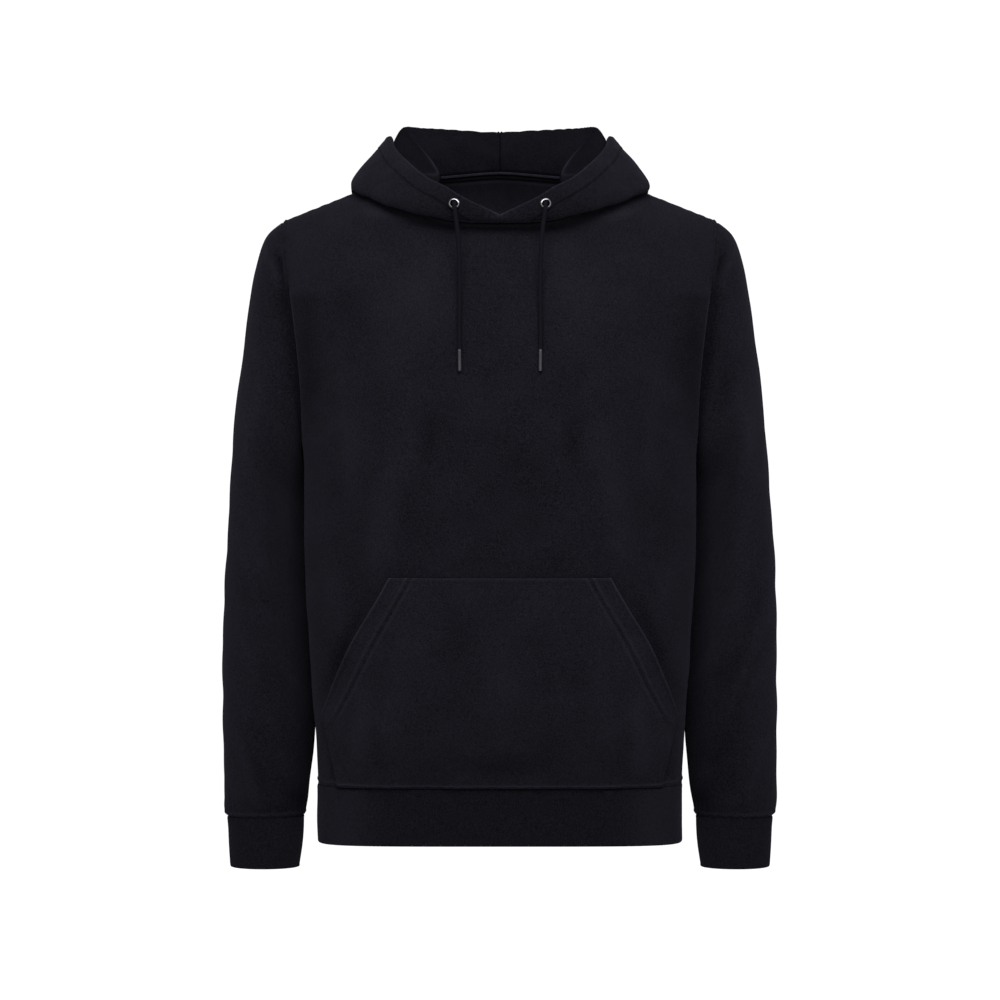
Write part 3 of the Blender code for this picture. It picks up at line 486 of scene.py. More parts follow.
# How far the hood keeps from the body, the guide past which it lies on it, how deep in the body a point
# may be to be moved out, and the row from which the panels carry the hood.
HOOD_CLEARANCE, LYING_FROM, DEEPEST, TOP_ROW = 4.2, 2.2, 30, 100


def neck_seam(shares):
    """Points of the neck seam at shares of its way from the front middle to the back middle."""
    front = trunk_points(neck_across(), yoke_z(neck_across(), 1, FRONT), FRONT)
    back = trunk_points(neck_across(), yoke_z(neck_across(), 1, BACK), BACK)
    edge = np.concatenate([front, back[-2::-1]])
    return at_distances(edge, shares * run_of(edge)[-1])


def hood_guides():
    """(places, guide points) of the hood's rows, carried on past both middles."""
    places = HOOD[:, 0]
    guides = HOOD[:, 1:].reshape(len(HOOD), GUIDES - 1, 3)
    guides = np.concatenate([neck_seam(places)[:, None], guides], axis=1)
    before = guides[1] * FLIP
    before[GUIDES - 2 :] = 2 * guides[0, GUIDES - 2 :] - guides[1, GUIDES - 2 :]
    after = guides[-2] * FLIP
    return np.array([-places[1], *places, 2 - places[-2]]), np.concatenate([[before], guides, [after]])


def body_tree():
    """The top of the body, to lay the hood on."""
    points, faces = [], []
    for side in (FRONT, BACK):
        grid = panel_rows(side)[TOP_ROW:]
        faces += quads(numbered(grid) + sum(map(len, points)))[:, :: 1 if side == FRONT else -1].tolist()
        points.append(grid.reshape(-1, 3))
    return BVHTree.FromPolygons(np.concatenate(points).tolist(), faces)


def laid_on(points, tree, clearance):
    """The points moved out of the body where they are nearer its surface than this."""
    moved = points.copy()
    for i, point in enumerate(points):
        place, facing, _, _ = tree.find_nearest(Vector(point[:3]))
        short = clearance - (Vector(point[:3]) - place).dot(facing)
        if 0 < short < DEEPEST:
            moved[i, :3] += np.array(facing) * short
    return moved


def hood_rows():
    """Close columns of points on the left half of the hood, each from the neck seam to the edge. Each
    point carries its place along the seam and its place up the guides."""
    places, guides = hood_guides()
    tree = body_tree()
    ups = np.linspace(0, GUIDES - 1, 141)
    columns = []
    for share in np.linspace(0, 1, 181):
        guide = curve(places, guides, share)
        column = curve(np.arange(GUIDES), guide, ups)
        lying = ups > LYING_FROM
        column[lying] = laid_on(column[lying], tree, HOOD_CLEARANCE)
        columns.append(np.column_stack([column, np.full(len(ups), share), ups]))
    return np.array(columns)


def hood_point(share, up):
    """The hood's middle surface at one place."""
    places, guides = hood_guides()
    return curve(np.arange(GUIDES), curve(places, guides, share), up * (GUIDES - 1))


# ---------------------------------------------------------------- soft creases

# Creases that the solids leave out. Each has its start, its end, how far it bows to one side, its width
# and its height, which is negative for a trough. On the body a place is (across, up). On a sleeve it is
# (degrees round, millimetres down), with 0 degrees at the outer side, 90 in front, 180 beside the body.
BODY_CREASES = {
    FRONT: creases("""
        -90 -264  -126 -450  -6 14 3.7 | 91 -268  125 -446  7 14 3.6
        -70 -250  -76 -322  3 9 -2.6 | 72 -254  79 -316  -3 9 -2.5
        -62 -84  -86 -206  -8 30 2.3 | 63 -86  85 -202  8 30 2.2
        -148 -96  -150 -196  -4 21 -1.3 | 149 -92  152 -192  4 21 -1.2
        -152 -226  -149 -352  2 9 2.3 | 153 -230  150 -348  -2 9 2.2
        -176 -400  -158 -470  4 10 1.8 | 175 -404  159 -468  -4 10 1.7
        -132 -436  -178 -546  0 8 -4.4 | 132 -432  179 -548  0 8 -4.3
        -14 -250  12 -360  6 34 -0.9 | -132 -430  -166 -585  -8 12 1.8
        130 -425  168 -590  9 12 1.9 | -196 -262  -128 -208  9 8 0.8
        196 -266  134 -214  -8 8 0.8 | -190 -292  -138 -262  6 7 1.1
        188 -296  146 -270  -6 7 1 | -172 -118  -104 -96  6 13 1.1
        176 -124  110 -92  -6 13 1.1 | -38 -140  22 -196  8 20 -0.9
        -60 -372  64 -384  -9 18 0.9 | -146 -604  -150 -560  2 7 1
        147 -606  153 -556  -2 7 1 | -186 -470  -150 -520  5 10 -1
        186 -455  152 -512  -5 10 -1
    """),
    BACK: creases("""
        -60 -250  -112 -420  -6 15 2.3 | 66 -240  118 -400  7 15 2.4
        -196 -262  -120 -214  8 9 1.8 | 196 -260  126 -206  -8 9 1.7
        -30 -420  -44 -600  5 14 1.5 | 34 -450  48 -606  -5 13 1.6
        -8 -230  6 -330  4 20 -1.4 | -150 -420  -166 -590  -5 12 1.5
        152 -440  164 -596  5 12 1.5 | -100 -520  -60 -556  4 9 -0.9
    """),
}
SLEEVE_CREASES = {
    1: creases("""
        150 30  96 100  6 10 2 | 168 360  112 452  4 8 2 | 176 384  130 456  4 7 -5.2
        92 60  86 186  2 9 2.6 | 68 340  84 380  0 15 1 | 30 27  64 10  -2 5.5 3.6
        36 16  68 3  -2 4 -5.2 | 166 60  110 140  6 9 -1.5 | 60 60  78 230  5 14 1.6
        112 150  92 330  -6 12 1.9 | 140 250  86 322  7 9 1.6 | 150 300  98 366  7 9 -1.5
        36 330  104 372  -7 9 0.8 | 112 262  78 352  4 11 -2.2 | 44 372  112 410  -6 9 -1.2
        150 430  96 512  8 10 2.2 | 158 478  104 556  8 9 1.9 | 40 470  84 552  -8 10 1.7
        30 540  92 578  -6 8 1.4 | 132 552  176 584  5 8 1.3 | 200 60  262 150  6 11 1.9
        300 120  268 300  6 13 1.6 | 216 270  280 330  -7 10 1.8 | 330 320  262 366  7 10 -1.5
        228 420  284 500  8 10 2 | 320 470  264 560  -8 10 1.7
    """),
    -1: creases("""
        146 34  92 108  6 10 1.9 | 166 364  108 450  4 8 1.9 | 174 388  126 454  4 7 -5
        87 65  81 191  2 9 2.6 | 73 335  89 385  0 15 1 | 30 27  64 10  -2 5.5 3.6
        36 16  68 3  -2 4 -5.2 | 168 66  112 150  6 9 -1.4 | 58 70  80 240  5 14 1.5
        114 140  90 320  -6 12 2 | 142 262  90 330  7 9 1.5 | 148 312  100 372  7 9 -1.4
        34 342  100 384  -7 9 0.8 | 114 258  80 350  4 11 -2.1 | 152 420  98 500  8 10 2.1
        156 486  100 566  8 9 2 | 42 460  88 540  -8 10 1.6 | 32 548  90 582  -6 8 1.4
        204 64  266 156  6 11 1.8 | 296 130  266 310  6 13 1.7 | 220 276  284 338  -7 10 1.7
        232 430  280 508  8 10 1.9 | 316 480  262 566  -8 10 1.8
    """),
}
# The length of a degree round a sleeve, and the scale that turns a sleeve's places into millimetres.
DEGREE = 0.85
ROUND_SLEEVE = (DEGREE, 1)

# Long uneven waves that keep broad cloth from looking machined: direction, length, start and height.
WAVES = numbers("0.3 61 0.4 0.28 | 1.2 83 2.1 0.3 | 2.2 47 4 0.2 | 2.8 112 1.1 0.34 | 0.8 36 5.2 0.12")


def crease_height(places, table, scale=(1, 1)):
    """How far creases move cloth out at these places on it. scale turns both into millimetres."""
    places = places * scale
    total = np.zeros(places.shape[:-1])
    for start, end, bow, width, height in table:
        start = np.multiply(start, scale)
        way = np.multiply(end, scale) - start
        length = np.hypot(*way)
        along = (places - start) @ way / length
        share = np.clip(along / length, 0, 1)
        off = (places - start) @ np.array([-way[1], way[0]]) / length - bow * np.sin(math.pi * share)
        past = along - share * length
        fade = np.sin(math.pi * (0.08 + 0.84 * share)) ** 1.4
        total += height * fade * np.exp(-(off**2 + 2 * past**2) / width**2)
    return total


def wave_height(places, start=0.0):
    """The height of the long uneven waves at these places."""
    total = np.zeros(places.shape[:-1])
    for turn, length, phase, height in WAVES:
        run = places[..., 0] * math.cos(turn) + places[..., 1] * math.sin(turn)
        total += height * np.sin(2 * math.pi * run / length + phase + start)
    return total


# ---------------------------------------------------------------- cloth meshes

# How far from a seam a mesh has its first lines: close together, to round the rim and hold the sewing.
SEAM_LINES = (0, 0.06, 0.25, 0.6, 1.1, 1.6, 2.2, 3.0, 3.8, 4.4, 5.0, 5.5, 6.0, 6.6, 7.8, 9.6, 12.0)
RIM_LINES = (0, 0.06, 0.25, 0.6, 1.1, 1.6, 2.2, 3.2)
NEAR_ROW, FAR_ROW, HEM_ROW = 1.6, 5.0, 6.0
TUNNEL_ROW = 20.0
TUNNEL_LINES = (*RIM_LINES, 5.0, 8.0, 11.0, 14.0, 17.0, 18.8, 19.5, TUNNEL_ROW, 20.5, 21.2, 23.0)
POCKET_ROWS = (20.0, 23.5)
POCKET_LINES = (*SEAM_LINES, 15.0, 18.0, 19.3, 20.0, 20.7, 21.75, 22.8, 23.5, 24.2, 26.0)


def graded(grid, axis, spacing, start=(), end=()):
    """The grid with new lines on one axis, at these distances from each end and evenly in between."""
    lines = np.moveaxis(grid, axis, 1)
    lengths = np.moveaxis(distances(grid, axis)[0], axis, 1)
    start, end = np.array(start or (0,)), np.array(end or (0,))
    count = max(2, round((lengths[:, -1].mean() - start[-1] - end[-1]) / spacing))
    found = []
    for line, length in zip(lines, lengths):
        crowd = min(1.0, length[-1] / max(1e-9, 1.25 * (start[-1] + end[-1])))
        middle = np.linspace(start[-1] * crowd, length[-1] - end[-1] * crowd, count + 1)
        wanted = np.concatenate([start[:-1] * crowd, middle, length[-1] - end[:-1][::-1] * crowd])
        found.append(np.stack([np.interp(wanted, length, channel) for channel in line.T], 1))
    return np.moveaxis(np.array(found), 1, axis)


def ring_closed(grid, spacing):
    """Rings of points, evenly spaced, each with its degrees round the ring."""
    turned = np.concatenate([grid, grid[:, :1]], axis=1)
    turned[:, -1, 3] += 360
    return graded(turned, 1, spacing)[:, :-1]


def distances(grid, axis):
    """How far each point of a grid lies from the start and from the end of its line on one axis."""
    lines = np.moveaxis(grid[..., :3], axis, 0)
    steps = np.linalg.norm(np.diff(lines, axis=0), axis=2)
    run = np.concatenate([np.zeros((1, lines.shape[1])), np.cumsum(steps, axis=0)])
    return np.moveaxis(run, 0, axis), np.moveaxis(run[-1] - run, 0, axis)


def facing(grid, closed=False):
    """The unit directions out of the cloth."""
    down = np.gradient(grid[..., :3], axis=0)
    if closed:
        across = np.roll(grid, -1, axis=1)[..., :3] - np.roll(grid, 1, axis=1)[..., :3]
    else:
        across = np.gradient(grid[..., :3], axis=1)
    found = unit(np.cross(across, down))
    outwards = ((grid[..., :3] - grid[..., :3].reshape(-1, 3).mean(0)) * found).sum()
    return found * (1 if outwards > 0 else -1)


def sewn(distance, rows, depth=0.55, roll=0.6, at=3.4):
    """The relief of sewing this far from a seam: a groove under each row and a soft roll beside it."""
    total = roll * bump(distance - at, 1.7)
    for row in rows:
        total = total - depth * bump(distance - row, 0.75)
    return total


def puckers(distance, run, reach, height, start):
    """The small uneven waves that sewing gathers beside a seam."""
    coarse = np.sin(run * 0.43 + 2.1 * np.sin(run * 0.051 + start))
    fine = np.sin(run * 0.71 + 1.7 * np.sin(run * 0.083))
    return height * (coarse + 0.6 * fine) * np.exp(-distance / reach) * ease(distance / 2.5)


class Cloth:
    """A piece of cloth: a grid of points on its middle surface, with a wall that rounds off at its rims."""

    def __init__(self, grid, wall, closed=False):
        self.middle = grid[..., :3].copy()
        self.closed = closed
        self.wall = wall
        self.out = facing(grid, closed)
        up, down = distances(grid, 0)
        self.from_start, self.from_end = up, down
        self.rim = np.minimum(up, down)
        # Painted light and shade, set by each piece: the materials lighten or darken the colour with it.
        self.painted_shading = np.zeros(up.shape)
        if not closed:
            self.left, self.right = distances(grid, 1)
            self.rim = np.minimum(self.rim, np.minimum(self.left, self.right))

    def move(self, height):
        """Moves the cloth outwards by these heights."""
        self.middle = self.middle + self.out * np.asarray(height)[..., None]

    def outer(self):
        """The outer face, whose rim thins to nothing over a rounded edge."""
        return self.middle + self.out * self.half()[..., None]

    def half(self):
        """Half the wall's thickness at each point."""
        share = np.clip(self.rim / (self.wall / 2), 0, 1)
        return self.wall / 2 * np.sqrt(1 - (1 - share) ** 2)

    def mesh(self, name, material, mirrored=False, lining=None):
        """The piece as an object. Its points share their rims, so the shell is closed."""
        half = self.half()[..., None]
        outer, inner = self.middle + self.out * half, self.middle - self.out * half
        upper = numbered(self.rim)
        doubled = np.ones(self.rim.shape, bool)
        doubled[[0, -1]] = False
        if not self.closed:
            doubled[:, [0, -1]] = False
        lower = upper.copy()
        lower[doubled] = upper.size + np.arange(doubled.sum())
        points = np.concatenate([outer.reshape(-1, 3), inner[doubled]])
        faces = np.concatenate([quads(upper, self.closed), quads(lower, self.closed)[:, ::-1]])
        first = points[faces[len(faces) // 4]]
        outwards = self.out.reshape(-1, 3)[faces[len(faces) // 4][0]]
        if np.dot(np.cross(first[1] - first[0], first[3] - first[0]), outwards) < 0:
            faces = faces[:, ::-1]
        across = distances(self.middle, 1)[0]
        # The third part carries the painted light and shade to the materials.
        places = np.stack([across - across.mean(1)[:, None], self.from_end, self.painted_shading], -1)
        places = np.concatenate([places.reshape(-1, 3), places[doubled]])
        made = make_mesh(name, points, faces, material, places, mirrored)
        if lining:
            made.data.materials.append(lining)
            inside = np.repeat((0, 1), len(faces) // 2).astype(np.int32)
            made.data.polygons.foreach_set("material_index", inside)
        return made


def placed(name, data):
    """A new object in the scene, for its mesh, its light or its camera."""
    made = bpy.data.objects.new(name, data)
    bpy.context.scene.collection.objects.link(made)
    return made


def make_mesh(name, points, faces, material, places=None, mirrored=False, sharp=None):
    """An object from points in millimetres. places is kept on its points, for the cloth's pattern and its
    painted light and shade, and edges that turn by more than sharp degrees stay sharp."""
    if mirrored:
        points, faces = points * FLIP, faces[:, ::-1]
    mesh = bpy.data.meshes.new(name)
    corners = faces if isinstance(faces, list) else faces.tolist()
    mesh.from_pydata((np.asarray(points, float) * MM).tolist(), [], corners)
    if places is not None:
        attribute = mesh.attributes.new("cloth", "FLOAT_VECTOR", "POINT")
        attribute.data.foreach_set("vector", np.asarray(places, np.float32).ravel())
    mesh.shade_smooth()
    if sharp is not None:
        mesh.set_sharp_from_angle(angle=math.radians(sharp))
    mesh.materials.append(material)
    return placed(name, mesh)


# ---------------------------------------------------------------- sewing

# The rings of one stitch: how far along it, how wide and how high each is.
STITCH_RINGS = numbers("-1 0.3 -0.35 | -0.8 0.85 0 | 0 1 0.25 | 0.8 0.85 0 | 1 0.3 -0.35")
STITCH_SIDES = 6


def stitches(path, out, length, width):
    """(points, faces) of the stitches along a line on the cloth, each a short rounded thread."""
    run = run_of(path)
    count = int(run[-1] / length)
    middles = (np.arange(count) + 0.5) * run[-1] / count
    both = np.column_stack([path, out])
    half = length * 0.38
    here, ahead, behind = (at_distances(both, middles + step) for step in (0, half, -half))
    centre, up = here[:, :3], unit(here[:, 3:])
    way = (ahead[:, :3] - behind[:, :3]) / 2
    side = unit(np.cross(way, up))
    points = []
    for share, swell, lift in STITCH_RINGS:
        ring = centre + way * share + up * width * (0.25 + lift)
        for turn in np.arange(STITCH_SIDES) * 2 * math.pi / STITCH_SIDES:
            points.append(ring + (side * math.cos(turn) + up * math.sin(turn) * 0.8) * width / 2 * swell)
    points = np.stack(points, 1).reshape(-1, 3)
    index = numbered(np.empty((len(STITCH_RINGS), STITCH_SIDES)))
    first, last = index[0][[(0, 3, 2, 1), (0, 5, 4, 3)]], index[-1][[(0, 1, 2, 3), (0, 3, 4, 5)]]
    one = np.concatenate([quads(index, closed=True), first, last])
    return points, (one + (np.arange(count) * index.size)[:, None, None]).reshape(-1, 4)


class Sewing:
    """Rows of stitches gathered into one piece."""

    def __init__(self, length, width):
        self.length, self.width = length, width
        self.points, self.faces, self.total = [], [], 0

    def row(self, path, out, mirrored=False):
        """Sews along a line on a piece of cloth."""
        points, faces = stitches(path, out, self.length, self.width)
        if mirrored:
            points, faces = points * FLIP, faces[:, ::-1]
        self.points.append(points)
        self.faces.append(faces + self.total)
        self.total += len(points)

    def along(self, cloth, axis, line, mirrored=False, part=slice(None)):
        """Sews along one of the lines of a cloth's grid."""
        pick = (line, part) if axis == 0 else (part, line)
        path, out = cloth.outer()[pick], cloth.out[pick]
        if axis == 0 and cloth.closed:
            path, out = np.concatenate([path, path[:1]]), np.concatenate([out, out[:1]])
        self.row(path, out, mirrored)

    def mesh(self, name, material):
        """The rows as one object."""
        return make_mesh(name, np.concatenate(self.points), np.concatenate(self.faces), material)


# ---------------------------------------------------------------- materials

# The widths of a rib and a twill line, and the lengths of a knitted loop and of one turn of the braid.
RIB_WIDTH, TWILL_WIDTH = 2.2, 1.1
RIB_LOOP, CORD_LAY = 1.5, 5.2


class Shader:
    """A material whose nodes are made one at a time, each from its type, its settings and its inputs."""

    def __init__(self, name, **constants):
        self.material = bpy.data.materials.new(name)
        self.material.use_nodes = True
        self.nodes, self.links = self.material.node_tree.nodes, self.material.node_tree.links
        self.surface = self.nodes["Principled BSDF"]
        for socket, value in constants.items():
            socket = self.surface.inputs[socket.replace("_", " ")]
            socket.default_value = (*value, 1) if socket.type == "RGBA" and len(value) == 3 else value

    def node(self, kind, settings=None, inputs=None, output=0):
        """A new node's output, as a Value."""
        made = self.nodes.new(kind)
        for name, value in (settings or {}).items():
            setattr(made, name, value)
        for name, value in (inputs or {}).items():
            self.plug(made.inputs[name], value)
        return Value(self, made.outputs[output])

    def plug(self, socket, value):
        """Links a Value to a socket, or sets the socket to a number, a colour or a vector."""
        if isinstance(value, Value):
            self.links.new(value.socket, socket)
        elif socket.type == "RGBA" and len(value) == 3:
            socket.default_value = (*value, 1)
        else:
            socket.default_value = value

    def maths(self, operation, *terms):
        """A sum of Values and numbers."""
        return self.node("ShaderNodeMath", {"operation": operation}, dict(enumerate(terms)))

    def place(self):
        """Where a point of the surface is, in metres, in the garment's own frame."""
        return self.node("ShaderNodeTexCoord", output="Object")

    def cloth(self):
        """(across and along the cloth in millimetres, and the painted light and shade that its piece sets on
        it)
        """
        return self.parts(self.node("ShaderNodeAttribute", {"attribute_name": "cloth"}, output="Vector"))

    def parts(self, vector):
        """The three parts of a vector."""
        parted = self.node("ShaderNodeSeparateXYZ", inputs={0: vector})
        return [Value(self, output) for output in parted.socket.node.outputs]

    def noise(self, size, detail=2.0, rough=0.5):
        """An uneven value from 0 to 1, whose patches are about this many millimetres across."""
        inputs = {"Vector": self.place(), "Scale": 1 / (size * MM), "Detail": detail, "Roughness": rough}
        return self.node("ShaderNodeTexNoise", inputs=inputs)

    def mix(self, share, first, second):
        """A colour between two others."""
        return self.node("ShaderNodeMix", {"data_type": "RGBA"}, {0: share, 6: first, 7: second}, output=2)

    def tones(self, share, colour, darker, lighter):
        """A colour between a darker and a lighter tone of another."""
        return self.mix(share, shade(colour, darker), shade(colour, lighter))

    def finish(self, colour, roughness, relief=None, height=0.0, strength=0.5):
        """The material with its colour, its roughness and a relief this many millimetres high."""
        self.plug(self.surface.inputs["Base Color"], colour)
        self.plug(self.surface.inputs["Roughness"], roughness)
        if relief is not None:
            inputs = {"Height": relief, "Distance": height * MM, "Strength": strength}
            self.plug(self.surface.inputs["Normal"], self.node("ShaderNodeBump", inputs=inputs))
        return self.material


class Value:
    """A shader's socket, which takes part in Python's own sums."""

    def __init__(self, shader, socket):
        self.shader, self.socket = shader, socket

    def __add__(self, other):
        return self.shader.maths("ADD", self, other)

    def __sub__(self, other):
        return self.shader.maths("SUBTRACT", self, other)

    def __rsub__(self, other):
        return self.shader.maths("SUBTRACT", other, self)

    def __mul__(self, other):
        return self.shader.maths("MULTIPLY", self, other)

    def __pow__(self, other):
        return self.shader.maths("POWER", self, other)

    def __rpow__(self, other):
        return self.shader.maths("POWER", other, self)

    __radd__, __rmul__ = __add__, __mul__

    def sine(self):
        """The sine of this value."""
        return self.shader.maths("SINE", self)

    def size(self):
        """This value without its sign."""
        return self.shader.maths("ABSOLUTE", self)


def shade(colour, factor):
    """A darker or lighter colour."""
    return tuple(part * factor for part in colour)


def once(name):
    """Lets a function make its material under this name only the first time."""

    def kept(make):
        return lambda settings: bpy.data.materials.get(name) or make(name, settings)

    return kept


def napped(name, settings, roughness):
    """A shader for cloth whose raised fibres catch a little light."""
    return Shader(
        name,
        Sheen_Weight=settings.sheen,
        Sheen_Roughness=roughness,
        Sheen_Tint=tuple(settings.sheen_tint),
        Specular_IOR_Level=settings.gloss,
    )


@once("brushed_fleece")
def fleece_material(name, settings):
    """Brushed fleece: a matt face of short raised fibres, mottled faintly where they lie over, with the
    pieces' painted light and shade on it.
    """
    shader = napped(name, settings, 0.55)
    painted_shading = shader.cloth()[2]
    nap, patches, tufts = shader.noise(1.3, 3.0, 0.65), shader.noise(22.0, 3.0), shader.noise(4.0, 2.0)
    # Painted light and shade: the pieces' value lightens or darkens the mottled colour.
    share = (nap - 0.5) * 2.3 + (tufts - 0.5) * 0.25 + (patches - 0.5) * 0.2 + painted_shading * 0.075 + 0.5
    colour = shader.tones(share, settings.fleece, 0.35, 1.65)
    # Painted highlight: where the painted light runs high, the colour turns up to 3.6 times lighter.
    colour = shader.mix((painted_shading - 5.0) * 0.1, colour, shade(settings.fleece, 3.6))
    return shader.finish(colour, 0.78 + nap * 0.2, nap * 0.9 + tufts * 0.4, 0.75, 0.8)


def lining_material(name, colour):
    """The cloth's inner face: looped, flatter and without the nap's sheen, with the pieces' painted light and
    shade, read the other way round from the fleece.
    """
    shader = Shader(name, Specular_IOR_Level=0.0)
    painted_shading = shader.cloth()[2]
    loops, patches = shader.noise(1.5, 2.0), shader.noise(20.0, 2.0)
    # Painted light and shade: a low value lightens the inner face and a high one darkens it.
    share = (loops - 0.5) * 1.3 + (patches - 0.5) * 0.3 - painted_shading * 0.07 + 0.5
    looped = shader.tones(share, colour, 0.4, 1.6)
    # Painted highlight: where the value runs low, along lit fold lines, the colour turns up to three times
    # lighter.
    lit = shader.mix(painted_shading * -0.2 - 0.5, looped, shade(colour, 3.0))
    return shader.finish(lit, 0.85 + loops * 0.15, loops, 0.25)


@once("fine_rib")
def rib_material(name, settings):
    """Fine rib: narrow knitted columns with shallow grooves between them, painted darker in the grooves, with
    the pieces' painted light and shade.
    """
    shader = napped(name, settings, 0.5)
    across, along, painted_shading = shader.cloth()
    wander = shader.noise(14.0, 1.0) * 1.1
    column = ((across + wander) * (math.pi / RIB_WIDTH)).sine().size()
    loops = (along * (2 * math.pi / RIB_LOOP) + column * 1.6).sine() * 0.5 + 0.5
    nap = shader.noise(1.5, 3.0, 0.65)
    # Painted shade in the grooves between the columns, and the pieces' painted light and shade.
    share = column * 0.12 + (nap - 0.5) * 2.3 + painted_shading * 0.075 + 0.42
    relief = column * 0.3 + loops * 0.1 + nap * 0.9
    return shader.finish(shader.tones(share, settings.rib, 0.45, 1.6), 0.74 + nap * 0.2, relief, 0.7, 0.8)


@once("sewing_thread")
def thread_material(name, settings):
    """Twisted sewing thread."""
    shader = Shader(name, Specular_IOR_Level=0.02)
    ply = shader.noise(0.5, 1.0)
    return shader.finish(shader.tones(ply, settings.thread, 0.7, 1.3), 0.5 + ply * 0.2, ply, 0.08)


def tape_material(settings):
    """Woven tape: a fine twill across its width, darker in the twill's hollows as painted shade, and lighter
    than the rib as painted light against the shade inside the back neck.
    """
    shader = Shader("neck_twill", Specular_IOR_Level=0.0)
    across, along, _ = shader.cloth()
    twill = ((across + along) * (2 * math.pi / TWILL_WIDTH)).sine() * 0.5 + 0.5
    yarn = shader.noise(1.2, 2.0)
    # Painted light: lighter than the rib, against the shade inside the back neck; painted shade in the
    # twill's hollows.
    colour = shader.tones(twill * 0.6 + yarn * 0.4, settings.rib, 1.3, 2.1)
    return shader.finish(colour, 0.62 + yarn * 0.2, twill * 0.7 + yarn * 0.3, 0.12)


def cord_material(settings):
    """Round braid: two sets of yarns that cross over each other, painted darker in the hollows between them.
    """
    shader = Shader("round_braid", Specular_IOR_Level=0.0)
    across, along, _ = shader.cloth()
    round_it, along_it = across * (2 * math.pi), along * (2 * math.pi / CORD_LAY)
    braid = ((round_it + along_it).sine() * (round_it - along_it).sine()).size() ** 0.5
    fibre = shader.noise(0.4, 2.0)
    # Painted shade in the hollows between the crossing yarns: the colour follows the braid's relief.
    colour = shader.tones(braid * 0.7 + fibre * 0.3, settings.cord, 0.4, 1.7)
    return shader.finish(colour, 0.6 + fibre * 0.25, braid * 0.8 + fibre * 0.3, 0.20)


def metal_material(name, colour, roughness, painted_highlight_from=None):
    """Plated metal, worn and brushed by handling. With a place given, the colour turns much lighter above it:
    a painted highlight.
    """
    shader = Shader(name, Metallic=1.0)
    wear, grain = shader.noise(2.4, 3.0), shader.noise(0.35, 2.0)
    plating = shader.tones(wear * 0.7 + grain * 0.3, colour, 0.8, 1.2)
    if painted_highlight_from is not None:
        # Painted highlight: from a few millimetres above the given place, higher towards the sides, the
        # colour turns up to eight times lighter.
        across, _, up = shader.parts(shader.place())
        rise = (up - across.size() * 0.5) * (1 / MM) - (painted_highlight_from[2] - abs(painted_highlight_from[0]) * 0.5)
        plating = shader.mix(rise * 0.5 - 1.3, plating, shade(colour, 8.0))
    worn = roughness + wear * 0.14 + grain * 0.08
    return shader.finish(plating, worn, wear * 0.6 + grain * 0.4, 0.03, 0.3)


def dark_material():
    """The unlit inside of the hood's tunnel, seen through an eyelet."""
    shader = Shader("tunnel_shadow", Specular_IOR_Level=0.0)
    fibre = shader.noise(0.8, 2.0)
    colour = shader.mix(fibre, (0.0002, 0.0002, 0.0003), (0.0006, 0.0006, 0.0008))
    return shader.finish(colour, 0.9 + fibre * 0.1)


# ---------------------------------------------------------------- the pieces

# Creases fade out this near a seam, and sewing's relief this near a rim.
FREE_REACH = 24.0
RIM_FADE = 1.2
# The unseen back has a coarser mesh than the front.
BACK_COARSENESS = 1.4


def cut_and_sewn(piece, node):
    """Hangs a cloth piece on the root and hides the solid that it replaces."""
    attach(piece, "root")
    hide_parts(node)


def trim(piece, slot, *nodes):
    """Hangs a cord, a metal piece or a row of sewing on the root, and hides the solids that it replaces."""
    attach(piece, "root")
    if nodes:
        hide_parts(*nodes)


def body_creases(places, side):
    """The height of the front's or the back's creases and waves."""
    return crease_height(places, BODY_CREASES[side]) + wave_height(places, 1.3 * side)


